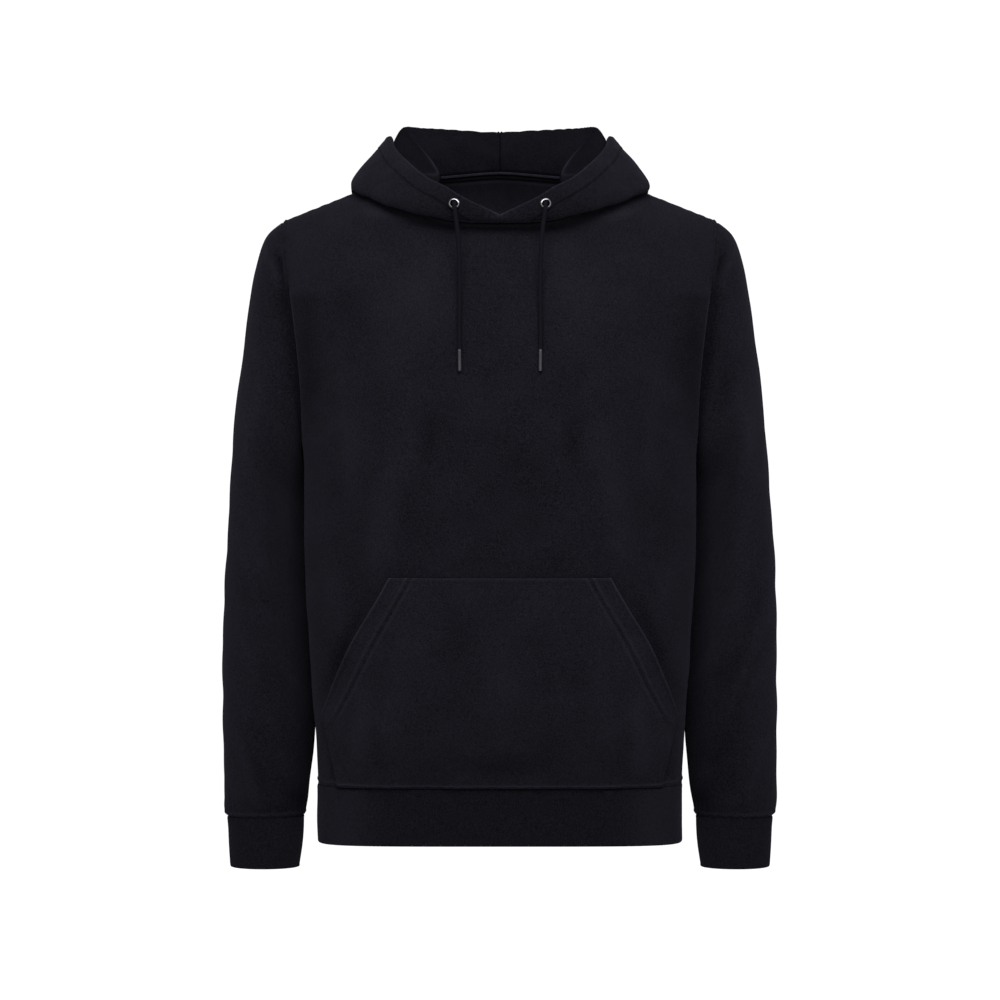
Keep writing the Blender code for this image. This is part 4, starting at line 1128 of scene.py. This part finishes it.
def body_cloth(side, settings):
    """The front or the back, with its folds, its creases, the relief of its sewing and its painted light and
    shade.
    """
    spacing = settings.spacing / MM * (BACK_COARSENESS if side == BACK else 1.0)
    grid = graded(panel_rows(side), 0, spacing, SEAM_LINES, SEAM_LINES)
    cloth = Cloth(graded(grid, 1, spacing, SEAM_LINES, SEAM_LINES), settings.fleece_wall / MM)
    x, z = cloth.middle[..., 0], cloth.middle[..., 2]
    beside = np.minimum(cloth.left, cloth.right)
    soft = body_creases(cloth.middle[..., [0, 2]], side)
    free = soft * ease(cloth.rim / FREE_REACH)
    # Painted light and shade: lighter on the creases' ridges, darker in their troughs, and a painted
    # highlight on the roll above the hem seam.
    cloth.painted_shading = free + 7 * bump(cloth.from_start - 5.4, 1.4)
    if side == FRONT:
        under_arm = ease((TURNED_IN_Z[side] - z) / 12)
        # Painted highlight on the front's side edge beside the sleeve, and painted shade a little further in,
        # where the sleeve shades it.
        cloth.painted_shading += (10 * bump(beside - 1.5, 2.4) - 5.6 * bump(beside - 18, 30)) * under_arm
        # Painted shade round the belly.
        cloth.painted_shading -= 1.3 * bump(z + 400, 120)
        # Painted light on the chest just below the hood's lower edge, which lightens the hood's shadow there.
        below_hood = z + 67 - 0.0011 * x**2
        cloth.painted_shading += 6 * bump(below_hood, 6) * ease((150 - np.abs(x)) / 30)
    else:
        # Below the back neckline: painted shade on the outer face, and painted light on the inner face, which
        # reads the value the other way round.
        cloth.painted_shading -= 7 * bump(cloth.from_end - 9, 6) * ease((NECK_HALF - np.abs(x)) / 20)
    armhole = ease((z - TURNED_IN_Z[side]) / 8)
    relief = sewn(cloth.from_start, (HEM_ROW,), 0.3, 1.0, 5.4) + sewn(cloth.from_end, (NEAR_ROW,))
    relief += sewn(beside, (NEAR_ROW, FAR_ROW)) * armhole
    relief += puckers(cloth.from_start, x, 16, 0.75, side) + puckers(cloth.from_end, x, 9, 0.30, 2.0)
    relief += puckers(beside, z + 40 * np.sign(x), 10, 0.38, 4.0) * (0.35 + 0.65 * armhole)
    cloth.move(free + relief * ease(cloth.rim / RIM_FADE))
    return cloth


def sew_body(sewing, cloth, side):
    """The rows on a body panel: above the waistband, below the neckline, and round both armholes."""
    near, far, hem = (SEAM_LINES.index(row) for row in (NEAR_ROW, FAR_ROW, HEM_ROW))
    sewing.along(cloth, 0, hem)
    top = np.flatnonzero(np.abs(cloth.middle[-1, :, 0]) < NECK_HALF)
    sewing.along(cloth, 0, -1 - near, part=slice(None) if side == BACK else slice(top[0], top[-1]))
    for line in (near, far, -1 - near, -1 - far):
        start = int(np.argmax(cloth.middle[:, line, 2] > TURNED_IN_Z[side]))
        sewing.along(cloth, 1, line, part=slice(start, -4))


def sleeve_cloth(side, settings):
    """The cloth of a sleeve, shaped as the wearer's left one, with its painted light and shade. side chooses
    its creases.
    """
    spacing = settings.spacing / MM
    grid = graded(ring_closed(sleeve_rows(), spacing), 0, spacing, SEAM_LINES, SEAM_LINES)
    cloth = Cloth(grid, settings.fleece_wall / MM, closed=True)
    degrees, down = grid[..., 3], cloth.from_start
    places = np.stack([degrees, down], -1)
    free = ease(down / 7) * ease(cloth.from_end / FREE_REACH)
    soft = crease_height(places, SLEEVE_CREASES[side], ROUND_SLEEVE)
    soft = (soft + wave_height(places * ROUND_SLEEVE, side)) * free
    # Painted light and shade: lighter on the creases' ridges, darker in their troughs, a painted highlight on
    # the roll above the cuff seam, and painted shade down the lower sleeve.
    cloth.painted_shading = soft + 7 * bump(cloth.from_end - 4.6, 1.4) - 3.3 * bump(cloth.from_end, 120)
    # Painted light on the outer side and painted shade on the side towards the body.
    cloth.painted_shading += (0.8 + 3.0 * np.cos(np.radians(degrees))) * ease(down / 60)
    # Painted shade on the upper sleeve, except at its outer side.
    cloth.painted_shading -= 2.0 * bump(down - 48, 46) * ease((degrees - 20) / 15) * ease((340 - degrees) / 15)
    # Painted light on the side towards the body, away from both ends.
    cloth.painted_shading += 3.2 * bump(degrees - 150, 32) * ease(down / 40) * ease(cloth.from_end / 150)
    # Painted highlight along the outer side.
    cloth.painted_shading += 4 * bump(np.minimum(degrees, 360 - degrees), 22) * ease(down / 120)
    # Painted shade next to the armhole seam, from the front round the inner side to the back.
    cloth.painted_shading -= 6.5 * bump(down, 15) * ease((degrees - 58) / 14) * ease((300 - degrees) / 14)
    relief = sewn(cloth.from_end, (FAR_ROW,), 0.3, 1.0, 4.6)
    relief += puckers(cloth.from_start, degrees * 1.3, 12, 0.5, side)
    relief += puckers(cloth.from_end, degrees * 1.1, 15, 0.85, 3.0 * side)
    cloth.move(soft + relief * ease(cloth.rim / RIM_FADE))
    kept = beside_the_body(cloth.middle.reshape(-1, 3), BODY_CLEARANCE).reshape(cloth.middle.shape)
    cloth.middle = cloth.middle + (kept - cloth.middle) * ease(down / 40)[..., None]
    return cloth


def cuff_cloth(settings):
    """A cuff: rib folded double, with its fold at the open end."""
    grid = graded(ring_closed(cuff_rows(), 2.0), 0, 2.0, SEAM_LINES, RIM_LINES)
    cloth = Cloth(grid, settings.rib_wall / MM, closed=True)
    relief = puckers(cloth.from_start, grid[..., 3] * 1.2, 14, 0.2, 1.0)
    relief += 0.7 * wave_height(np.stack([grid[..., 3] * DEGREE, cloth.from_start], -1))
    cloth.move(relief * ease(cloth.rim / 3))
    return cloth


def band_rows():
    """Close rings of points down the waistband, with each point's degrees."""
    rings = []
    for z in np.linspace(BAND_SEAM_Z, HEM_Z + 0.1, 30):
        left = np.concatenate([level_row(z, FRONT), level_row(z, BACK)[-2::-1]])
        ring = np.concatenate([left, left[-2:0:-1] * FLIP])
        rings.append(np.column_stack([ring, np.degrees(full_turn(len(ring)))]))
    return np.array(rings)


def band_cloth(settings):
    """The waistband: rib folded double, with its fold at the hem."""
    grid = graded(ring_closed(band_rows(), 2.6), 0, 2.4, SEAM_LINES, RIM_LINES)
    cloth = Cloth(grid, settings.rib_wall / MM, closed=True)
    run = grid[..., 3] * 2.7
    relief = puckers(cloth.from_start, run, 15, 0.45, 1.0)
    relief += 0.8 * wave_height(np.stack([run, cloth.from_start], -1), 2.0)
    # Painted light on the waistband near both sides, and a little painted shade everywhere else.
    cloth.painted_shading = 6.4 * bump(np.abs(cloth.middle[..., 0]) - 158, 27) - 0.8
    cloth.move(relief * ease(cloth.rim / 3))
    return cloth


# The pocket's half width at three heights: its bottom, its corners and its top.
POCKET = np.array([(-628.5, 162.5), (POCKET_CORNER_Z, 175.5), (-417.5, 109.5)])
# How far the pocket stands off in its middle and at its sides, how much its sides close above the bottom,
# over what height they open, and how far the hem of its openings steps up.
POCKET_PUFF, POCKET_SIDE_LIFT, POCKET_SIDE_CLOSING = 12.0, 0.7, 0.85
POCKET_OPENS_OVER, POCKET_HEM_STEP = 70.0, 0.7
# How far the slanted openings stand off the body, and at what height they stand off most.
GAPE, GAPE_Z = 4.6, -490
# Where the slanted rows of sewing, carried straight on past the corners, end.
POCKET_SEW_END_Z = -586.0
POCKET_CREASES = creases("""
    -136 -516  -145 -628  4 9 3.2 | 137 -520  144 -628  -4 9 3.1
    -128 -560  -112 -622  -3 9 -1.8 | 130 -556  112 -622  3 9 -1.7
    -96 -470  -120 -600  7 13 1.6 | 98 -462  118 -604  -8 13 1.7
    -58 -604  60 -606  -5 15 -2.8 | -40 -440  -52 -520  4 16 -1.2
    44 -438  50 -540  -4 16 -1.2 | 4 -450  -6 -580  5 18 1.1
    -104 -432  -70 -452  3 8 1 | 104 -434  72 -456  -3 8 1
""")


def body_surface(across, z, side):
    """(points, directions out) of the front's or back's middle surface, with its creases."""
    here = trunk_points(across, z, side)
    sideways = trunk_points(across + 2, z, side) - trunk_points(across - 2, z, side)
    upwards = trunk_points(across, z + 2, side) - trunk_points(across, z - 2, side)
    out = unit(np.cross(sideways, upwards)) * (1 if side == FRONT else -1)
    return here + out * body_creases(np.stack([across, z], -1), side)[..., None], out


def pocket_rows(wall):
    """Close rows of points on the pocket's middle surface, from its bottom up."""
    low, high = POCKET[0, 0], POCKET[-1, 0]
    z = np.concatenate([np.linspace(low, POCKET_CORNER_Z, 45), np.linspace(POCKET_CORNER_Z, high, 90)[1:]])
    half = np.interp(z, *POCKET.T)
    share = np.linspace(-1, 1, 181)
    across, z = half[:, None] * share, np.repeat(z[:, None], len(share), 1)
    climb = (z - low) / (high - low)
    puff = POCKET_PUFF * np.sin(math.pi * np.clip(climb, 0, 1)) ** 0.8
    closing = POCKET_SIDE_CLOSING * (1 - ease((z - POCKET_CORNER_Z) / POCKET_OPENS_OVER))
    puff = puff * (1 - closing * np.abs(share) ** 6)
    here, out = body_surface(across, z, FRONT)
    lift = wall + 0.1 + POCKET_SIDE_LIFT * np.abs(share) ** 4 + puff
    return here + out * lift[..., None]


def pocket_cloth(settings):
    """The hand pocket, sewn on along its top, bottom and short sides, with hemmed slanted openings and its
    painted light and shade.
    """
    spacing, wall = settings.spacing / MM, settings.fleece_wall / MM
    grid = graded(pocket_rows(wall), 0, spacing, SEAM_LINES, SEAM_LINES)
    cloth = Cloth(graded(grid, 1, spacing, POCKET_LINES, POCKET_LINES), wall)
    x, z = cloth.middle[..., 0], cloth.middle[..., 2]
    beside = np.minimum(cloth.left, cloth.right)
    slanted = ease((z - POCKET_CORNER_Z + 6) / 12)
    gape = GAPE * np.exp(-beside / 14 - ((z - GAPE_Z) / 38) ** 2)
    edge = (0.8 * bump(beside - 2.0, 1.8) + gape) * slanted
    hem = POCKET_HEM_STEP * (1 - ease((beside - 22) / 5)) * slanted
    relief = sewn(cloth.from_end, (NEAR_ROW,)) + sewn(cloth.from_start, (NEAR_ROW,))
    relief += sewn(beside, (NEAR_ROW,)) * (1 - slanted) + sewn(beside, POCKET_ROWS, 0.55) * slanted
    relief += puckers(cloth.from_end, x, 13, 0.5, 0.7) + puckers(cloth.from_start, x, 16, 0.6, 2.7)
    relief += puckers(np.abs(beside - 21.7) + 2, z, 7, 0.5, 1.1) * slanted
    places = cloth.middle[..., [0, 2]]
    soft = crease_height(places, POCKET_CREASES) * ease(cloth.from_end / 20) * ease(cloth.from_start / 20)
    # Painted highlight on the ridges beside the openings' two rows of sewing, and painted shade between them.
    painted_seam_light = bump(beside - 18.4, 1.3) + bump(beside - 25.1, 1.4) - 0.5 * bump(beside - 21.8, 1.5)
    # Painted light and shade of the pocket's and the front's creases.
    cloth.painted_shading = soft + body_creases(places, FRONT)
    # Painted highlight on the slanted openings' edges.
    cloth.painted_shading += (8 * bump(beside - 1.0, 1.5) + 5.5 * painted_seam_light) * slanted
    # Painted highlight on the rolls at the pocket's top and bottom.
    cloth.painted_shading += 6 * bump(cloth.from_end - 0.8, 1.2) + 7 * bump(cloth.from_start - 3.4, 1.4)
    cloth.move(soft + (relief + hem) * ease(cloth.rim / RIM_FADE) + edge)
    return cloth


def hood_cloth(settings):
    """The left half of the hood, doubled, thrown back and folded over itself."""
    spacing = settings.spacing / MM
    grid = graded(hood_rows(), 1, spacing * 0.6, SEAM_LINES, TUNNEL_LINES)
    cloth = Cloth(graded(grid, 0, spacing * 1.2, RIM_LINES, RIM_LINES), settings.hood_wall / MM)
    cloth.out[[0, -1], :, 0] = 0
    cloth.out = unit(cloth.out)
    return cloth


# Places on the hood are (along from the front, up from the neck seam).
HOOD_CREASES = creases("132 57  262 64  0 3.4 -2.2")


def shape_hood(cloth, side):
    """The creases, the sewing and the painted light and shade of one half of the hood."""
    along, up, down = cloth.from_start, cloth.left, cloth.right
    places = np.stack([along, up], -1)
    relief = sewn(down, (TUNNEL_ROW,), 0.8, 0) + 0.6 * bump(down - 2.2, 1.8)
    relief += sewn(cloth.from_end, (NEAR_ROW,))
    relief += puckers(np.abs(down - 19) + 2, along, 8, 0.45, side) + puckers(up, along, 10, 0.35, 2.0 + side)
    fold = crease_height(places, HOOD_CREASES)
    soft = 1.2 * wave_height(places, 2.4 * side) + fold
    # Painted light and shade: half the creases' and waves' height, a painted highlight on the opening's edge,
    # and painted shade along the drawcord tunnel's row of sewing.
    cloth.painted_shading = soft * 0.5 + 13 * bump(down - 0.9, 1.4) - 4.5 * bump(down - TUNNEL_ROW, 1.0)
    # Painted light and shade by the fold and the neck seam. The lining reads the value the other way round: a
    # painted highlight along its inner fold, painted shade towards the neck seam and more right at the back
    # neck seam; the outer face gets the opposite.
    cloth.painted_shading += 3 * fold + 3.4 * bump(up, 30) + 6 * bump(up, 2.6) * ease((along - 200) / 60)
    # Painted shade on the front part of the hood's outer face, away from its neck seam, and painted light on
    # its lining there.
    cloth.painted_shading -= 4.6 * bump(along, 85) * ease(up / 40) + 1.6 * bump(along - 88, 36)
    calm = 1 - 0.75 * bump(up - 72, 45) * ease((along - 180) / 70)
    cloth.move(soft * calm * ease(cloth.rim / 18) + relief * ease(cloth.rim / RIM_FADE) * ease(along / 20))
    return cloth


# Half the tape's length, how far below the neckline it starts and ends, and its wall and distance from
# the back's inner face.
TAPE_HALF, TAPE_REACH = 78, (0.8, 8.5)
TAPE_WALL, TAPE_GAP, TAPE_LINES = 1.0, 0.6, (0, 0.1, 0.3)


def tape_cloth(back):
    """The tape that covers the back neck seam, inside the back."""
    near = np.flatnonzero(np.abs(back.middle[-1, :, 0]) < TAPE_HALF)
    both = np.concatenate([back.middle, back.out], axis=2)[::-1]
    rows = np.stack([at_distances(both[:, column], np.linspace(*TAPE_REACH, 12)) for column in near], 1)
    middle = rows[..., :3] - unit(rows[..., 3:]) * (back.wall / 2 + TAPE_GAP)
    grid = graded(middle, 1, 2.5, RIM_LINES[:6], RIM_LINES[:6])
    return Cloth(graded(grid, 0, 0.8, TAPE_LINES, TAPE_LINES), TAPE_WALL)


CORD_ROUTE = (
    (45.6, -100.2, -46.6),
    (45.4, -102.6, -45.7),
    (45.2, -104.6, -46.1),
    (45.0, -105.8, -47.5),
    (44.9, -106.5, -49.7),
    (44.6, -106.7, -53.5),
    (44.0, -106.8, -58.5),
    (43.2, -106.7, -64.0),
    (42.3, -106.7, -71.0),
    (41.3, -106.7, -82.0),
    (40.6, -106.7, -96.0),
    (40.1, -106.7, -111.0),
    (39.8, -106.7, -126.0),
    (39.8, -106.7, -141.0),
    (40.1, -106.7, -156.0),
    (40.2, -107.0, -170.0),
    (40.1, -107.5, -182.0),
    (40.0, -107.8, -191.0),
)
CORD_SIDES, CORD_YARNS = 40, 8
# The tip as (along, radius), and the eyelet as (radius, along) all round its section.
TIP_PROFILE = numbers("""
    0 1.2 | 0 1.72 | 0.25 1.93 | 0.9 1.95 | 1.15 1.84 | 1.4 1.95 | 2.2 1.92 | 11 1.9
    19.8 1.92 | 20.6 1.95 | 20.85 1.84 | 21.1 1.95 | 21.75 1.9 | 22 1.6 | 22 0
""")
EYELET_PROFILE = numbers("""
    3.25 -1.3 | 3.25 -0.2 | 3.32 0.3 | 3.62 0.78 | 4.15 1.06 | 4.7 1.08
    5.3 0.86 | 5.75 0.45 | 5.95 -0.1 | 5.9 -0.55 | 5.6 -0.9 | 4.8 -1.3
""")
HOLE_PROFILE = numbers("0.1 0 | 0.14 3.2 | -0.3 3.4")
# The eyelet's height over the hood's middle surface, the hole's depth in it, and the cord's in its tip.
EYELET_LIFT, HOLE_DEPTH, TIP_OVERLAP = 2.9, 0.9, 0.3


def cord_line(flip):
    """Close points along the drawcord's middle line."""
    route = np.array(CORD_ROUTE) * (flip, 1, 1)
    run = run_of(route)
    dense = curve(run, route, np.linspace(0, run[-1], 1200))
    return at_distances(dense, np.linspace(0, run_of(dense)[-1], 320))


def frames_along(line):
    """Two directions across a line at each of its points, carried along it without a twist."""
    way = unit(np.gradient(line, axis=0))
    side = unit(np.cross(way[0], (0.3, 1, 0.2)))
    sides = []
    for step in way:
        side = unit(side - step * np.dot(side, step))
        sides.append(side)
    sides = np.array(sides)
    return sides, np.cross(way, sides)


def braided_cord(name, line, width, material):
    """A round braid along a line, with its yarns standing up where they cross."""
    sides, ups = frames_along(line)
    run, turns = run_of(line)[:, None], full_turn(CORD_SIDES)
    lay = 2 * math.pi * run / CORD_LAY
    yarns = np.abs(np.sin(turns * CORD_YARNS / 2 + lay) * np.sin(turns * CORD_YARNS / 2 - lay)) ** 0.6
    radius = width / 2 - 0.16 + 0.22 * yarns
    spokes = sides[:, None] * np.cos(turns)[:, None] + ups[:, None] * np.sin(turns)[:, None]
    rings = line[:, None] + radius[..., None] * spokes
    places = np.broadcast_arrays(turns / (2 * math.pi) * CORD_YARNS / 2, run, yarns)
    return ring_mesh(name, rings, material, np.stack(places, -1))


def ring_mesh(name, rings, material, places=None):
    """A tube of rings with flat ends."""
    index = numbered(rings)
    faces = [*quads(index, closed=True).tolist(), index[0][::-1].tolist(), index[-1].tolist()]
    points = rings.reshape(-1, 3)
    first = points[faces[0]]
    if np.dot(np.cross(first[1] - first[0], first[2] - first[0]), first[0] - rings[0].mean(0)) < 0:
        faces = [face[::-1] for face in faces]
    places = np.zeros(rings.shape) if places is None else places
    return make_mesh(name, points, faces, material, places, sharp=50)


def turned(name, profile, centre, axis, material, around=64, closed=False):
    """A profile of (along, radius) or, closed, of (radius, along) turned about an axis."""
    side = unit(np.cross(axis, (0.0, 0.0, 1.0) if abs(axis[2]) < 0.9 else (1.0, 0.0, 0.0)))
    up = np.cross(side, axis)
    angles = full_turn(around)
    spokes = np.outer(np.cos(angles), side) + np.outer(np.sin(angles), up)
    rings = np.array([centre + axis * along + spokes * max(radius, 0.02) for along, radius in profile])
    if closed:
        rings = np.concatenate([rings, rings[:1]])
    return ring_mesh(name, rings, material)


# ---------------------------------------------------------------- operators


class PieceOperator(bpy.types.Operator):
    """Makes some of the hoodie's pieces."""

    bl_options = {"REGISTER", "UNDO"}

    def execute(self, context):
        self.make(context.scene.hoodie_cloth, context.scene.hoodie_trims)
        return {"FINISHED"}


def new_sewing(settings):
    """Rows of stitches at the thread's settings."""
    return Sewing(settings.stitch / MM, settings.thread_width / MM)


def sewn_piece(sewing, name, settings):
    """The rows as a piece that moves with the cloth."""
    trim(sewing.mesh(name, thread_material(settings)), "fleece")


class HOODIE_OT_body(PieceOperator):
    """Makes the front, the back and their sewing, and the tape over the back neck seam"""

    bl_idname = "hoodie.body"
    bl_label = "Front and back"

    def make(self, cloth, trims):
        fleece = fleece_material(cloth)
        # The inner faces: partly the looped back's own colour, partly painted light.
        inside = lining_material("looped_fleece_back", cloth.body_inside)
        sewing = new_sewing(cloth)
        front, back = body_cloth(FRONT, cloth), body_cloth(BACK, cloth)
        sew_body(sewing, front, FRONT)
        sew_body(sewing, back, BACK)
        piece = front.mesh("front_body", fleece, lining=inside)
        cut_and_sewn(piece, "front_panel")
        piece = back.mesh("back_body", fleece, lining=inside)
        cut_and_sewn(piece, "back_panel")
        sewn_piece(sewing, "body_sewing", cloth)
        piece = tape_cloth(back).mesh("back_neck_tape", tape_material(cloth))
        cut_and_sewn(piece, "neck_tape")


class HOODIE_OT_sleeves(PieceOperator):
    """Makes both sleeves with their cuffs"""

    bl_idname = "hoodie.sleeves"
    bl_label = "Sleeves and cuffs"

    def make(self, cloth, trims):
        sewing = new_sewing(cloth)
        for name, side in SIDES.items():
            sleeve = sleeve_cloth(side, cloth)
            sewing.along(sleeve, 0, -1 - SEAM_LINES.index(FAR_ROW), mirrored=side < 0)
            piece = sleeve.mesh(f"{name}_sleeve", fleece_material(cloth), mirrored=side < 0)
            cut_and_sewn(piece, f"sleeve_{name}")
            piece = cuff_cloth(cloth).mesh(f"{name}_cuff", rib_material(cloth), mirrored=side < 0)
            cut_and_sewn(piece, f"cuff_{name}")
        sewn_piece(sewing, "cuff_sewing", cloth)


class HOODIE_OT_waistband(PieceOperator):
    """Makes the waistband"""

    bl_idname = "hoodie.waistband"
    bl_label = "Waistband"

    def make(self, cloth, trims):
        piece = band_cloth(cloth).mesh("waistband", rib_material(cloth))
        cut_and_sewn(piece, "hem_band")


class HOODIE_OT_pocket(PieceOperator):
    """Makes the hand pocket and its sewing"""

    bl_idname = "hoodie.pocket"
    bl_label = "Hand pocket"

    def make(self, cloth, trims):
        pocket = pocket_cloth(cloth)
        sewing = new_sewing(cloth)
        near = SEAM_LINES.index(NEAR_ROW)
        sewing.along(pocket, 0, near)
        sewing.along(pocket, 0, -1 - near)
        corner = int(np.argmax(pocket.middle[:, 0, 2] > POCKET_CORNER_Z))
        bar = int(np.argmax(pocket.middle[:, 0, 2] > POCKET_SEW_END_Z))
        for line in (near, -1 - near):
            sewing.along(pocket, 1, line, part=slice(0, corner))
        for row in POCKET_ROWS:
            line = POCKET_LINES.index(row)
            for column in (line, -1 - line):
                sewing.along(pocket, 1, column, part=slice(corner, None))
                sewing.row(*tail_of(pocket, column, corner, bar))
        piece = pocket.mesh("hand_pocket", fleece_material(cloth))
        cut_and_sewn(piece, "pocket")
        sewn_piece(sewing, "pocket_sewing", cloth)


def tail_of(pocket, column, corner, bar):
    """The line that carries a slanted row of sewing straight on to the pocket's short side."""
    outer = pocket.outer()
    start = outer[corner, column]
    slope = (outer[corner + 8, column] - start)[[0, 2]]
    path, out = [], []
    for row in range(corner, bar, -1):
        across = start[0] + slope[0] / slope[1] * (outer[row, column, 2] - start[2])
        places = outer[row, :, 0]
        if not places[2] < across < places[-3]:
            continue
        path.append([np.interp(across, places, outer[row, :, i]) for i in range(3)])
        out.append([np.interp(across, places, pocket.out[row, :, i]) for i in range(3)])
    return np.array(path), unit(np.array(out))


class HOODIE_OT_hood(PieceOperator):
    """Makes both halves of the hood and their sewing"""

    bl_idname = "hoodie.hood"
    bl_label = "Hood"

    def make(self, cloth, trims):
        sewing = new_sewing(cloth)
        # The hood's inner face: the fleece made darker as painted shade.
        lining = lining_material("hood_inside_shade", cloth.hood_inside_shaded)
        for name, side in SIDES.items():
            hood = shape_hood(hood_cloth(cloth), side)
            tunnel = -1 - TUNNEL_LINES.index(TUNNEL_ROW)
            sewing.along(hood, 1, tunnel, mirrored=side < 0, part=slice(6, None))
            sewing.along(hood, 0, -1 - RIM_LINES.index(NEAR_ROW), mirrored=side < 0)
            piece = hood.mesh(f"{name}_hood", fleece_material(cloth), side < 0, lining)
            cut_and_sewn(piece, f"hood_{name}")
        sewn_piece(sewing, "hood_sewing", cloth)


class HOODIE_OT_drawcord(PieceOperator):
    """Makes the eyelets, the free ends of the drawcord and their tips"""

    bl_idname = "hoodie.drawcord"
    bl_label = "Drawcord"

    def make(self, cloth, trims):
        metal = metal_material("eyelet_plating", trims.metal, 0.18, eyelet_seat(1)[0])
        tip_metal = metal_material("tip_plating", trims.tip, 0.34)
        braid, dark = cord_material(trims), dark_material()
        width = trims.cord_width
        for name, side in SIDES.items():
            place, out = eyelet_seat(side)
            eyelet = turned(f"{name}_eyelet", EYELET_PROFILE[:, ::-1], place, out, metal, closed=True)
            trim(eyelet, "eyelet_metal", f"eyelet_{name}")
            # Painted shade: a near-black disc set into each eyelet, for the unlit tunnel behind it.
            hole = turned(f"{name}_eyelet_shadow_disc", HOLE_PROFILE, place - out * HOLE_DEPTH, out, dark)
            trim(hole, "fleece")
            line = cord_line(side)
            cord = braided_cord(f"{name}_cord", line, width / MM, braid)
            way = unit(line[-1] - line[-12])
            tip = turned(f"{name}_tip", TIP_PROFILE, line[-1] - way * TIP_OVERLAP, way, tip_metal)
            trim(cord, "cord", f"drawcord_{name}")
            trim(tip, "cord_tip", f"cord_tip_{name}")


def eyelet_seat(side):
    """(centre, direction out) of an eyelet, on the face of the hood."""
    here = hood_point(EYELET_AT, EYELET_UP)
    up, along = hood_point(EYELET_AT, EYELET_UP + 0.01) - here, hood_point(EYELET_AT + 0.01, EYELET_UP) - here
    out = unit(np.cross(up, along))
    out = out * (-1 if out[1] > 0 else 1)
    mirror = (side, 1, 1)
    return (here + out * EYELET_LIFT) * mirror, out * mirror


class HOODIE_OT_stage(bpy.types.Operator):
    """Makes the floor, the lights and the camera"""

    bl_idname = "hoodie.stage"
    bl_label = "Floor, lights and camera"
    bl_options = {"REGISTER", "UNDO"}

    def execute(self, context):
        scene = context.scene
        settings = scene.hoodie_stage
        floor = make_mesh("floor", FLOOR_CORNERS, [[0, 1, 2, 3]], floor_material(settings))
        world = bpy.data.worlds.new("studio")
        world.use_nodes = True
        sky = world.node_tree.nodes["Background"]
        sky.inputs["Color"].default_value = (1, 1, 1, 1)
        sky.inputs["Strength"].default_value = settings.sky
        scene.world = world
        scene.view_settings.view_transform = "Standard"
        for name, place, size, share in LIGHTS:
            add_light(name, place, size, settings.key_light * share)
        camera = placed("camera", bpy.data.cameras.new("camera"))
        camera.data.lens = LENS_MM
        camera.location = (0, -settings.distance, settings.height)
        camera.rotation_euler = (math.radians(90), 0, 0)
        scene.camera = camera
        return {"FINISHED"}


LENS_MM = 90
FLOOR_Z, FLOOR_HALF = -1500.0, 9000.0
FLOOR_CORNERS = [(x * FLOOR_HALF, y * FLOOR_HALF, FLOOR_Z) for x, y in ((-1, -1), (1, -1), (1, 1), (-1, 1))]

# Each light's place in metres, its width and height, and its share of the key light's power.
LIGHTS = (
    ("front_softbox", (0.0, -1.5, 0.9), (1.6, 0.7), 1.0),
    ("top_softbox", (0.0, -1.2, 1.5), (1.8, 0.9), 0.4),
    ("low_softbox", (0.0, -1.5, -1.35), (1.8, 0.9), 0.18),
    ("left_softbox", (-2.3, -1.0, 0.2), (1.2, 2.0), 0.18),
    ("right_softbox", (2.3, -1.0, 0.2), (1.2, 2.0), 0.18),
)
LIGHT_AIM = Vector((0, 0, -0.33))


def add_light(name, place, size, power):
    """A rectangular softbox that faces the hoodie."""
    data = bpy.data.lights.new(name, "AREA")
    data.shape = "RECTANGLE"
    data.size, data.size_y = size
    data.energy = power
    light = placed(name, data)
    light.visible_camera = False
    light.location = place
    light.rotation_euler = (LIGHT_AIM - Vector(place)).to_track_quat("-Z", "Y").to_euler()


def floor_material(settings):
    """A matt pale floor, faintly uneven."""
    shader = Shader("pale_floor", Specular_IOR_Level=0.1)
    patches = shader.noise(420.0, 2.0)
    return shader.finish(shader.tones(patches, settings.floor, 0.99, 1.0), 0.9 + patches * 0.05)


class HOODIE_PT_panel(bpy.types.Panel):
    """The hoodie's settings and its pieces"""

    bl_label = "Hoodie"
    bl_idname = "HOODIE_PT_panel"
    bl_space_type = "VIEW_3D"
    bl_region_type = "UI"
    bl_category = "Hoodie"

    def draw(self, context):
        for group in (context.scene.hoodie_cloth, context.scene.hoodie_trims, context.scene.hoodie_stage):
            box = self.layout.box()
            for name in group.__annotations__:
                box.prop(group, name)
        for operator in OPERATORS:
            self.layout.operator(operator.bl_idname)


OPERATORS = (
    HOODIE_OT_stage,
    HOODIE_OT_drawcord,
    HOODIE_OT_body,
    HOODIE_OT_sleeves,
    HOODIE_OT_waistband,
    HOODIE_OT_pocket,
    HOODIE_OT_hood,
)
GROUPS = {"hoodie_cloth": HoodieCloth, "hoodie_trims": HoodieTrims, "hoodie_stage": HoodieStage}


def register():
    """Adds the settings, the operators and the panel to Blender."""
    for name, group in GROUPS.items():
        bpy.utils.register_class(group)
        setattr(bpy.types.Scene, name, bpy.props.PointerProperty(type=group))
    for item in (*OPERATORS, HOODIE_PT_panel):
        bpy.utils.register_class(item)


def unregister():
    """Takes them away again."""
    for item in (HOODIE_PT_panel, *reversed(OPERATORS)):
        bpy.utils.unregister_class(item)
    for name, group in GROUPS.items():
        delattr(bpy.types.Scene, name)
        bpy.utils.unregister_class(group)


def main():
    """Makes the whole scene."""
    register()
    for operator in OPERATORS:
        group, name = operator.bl_idname.split(".")
        getattr(getattr(bpy.ops, group), name)()


if __name__ == "__main__":
    main()
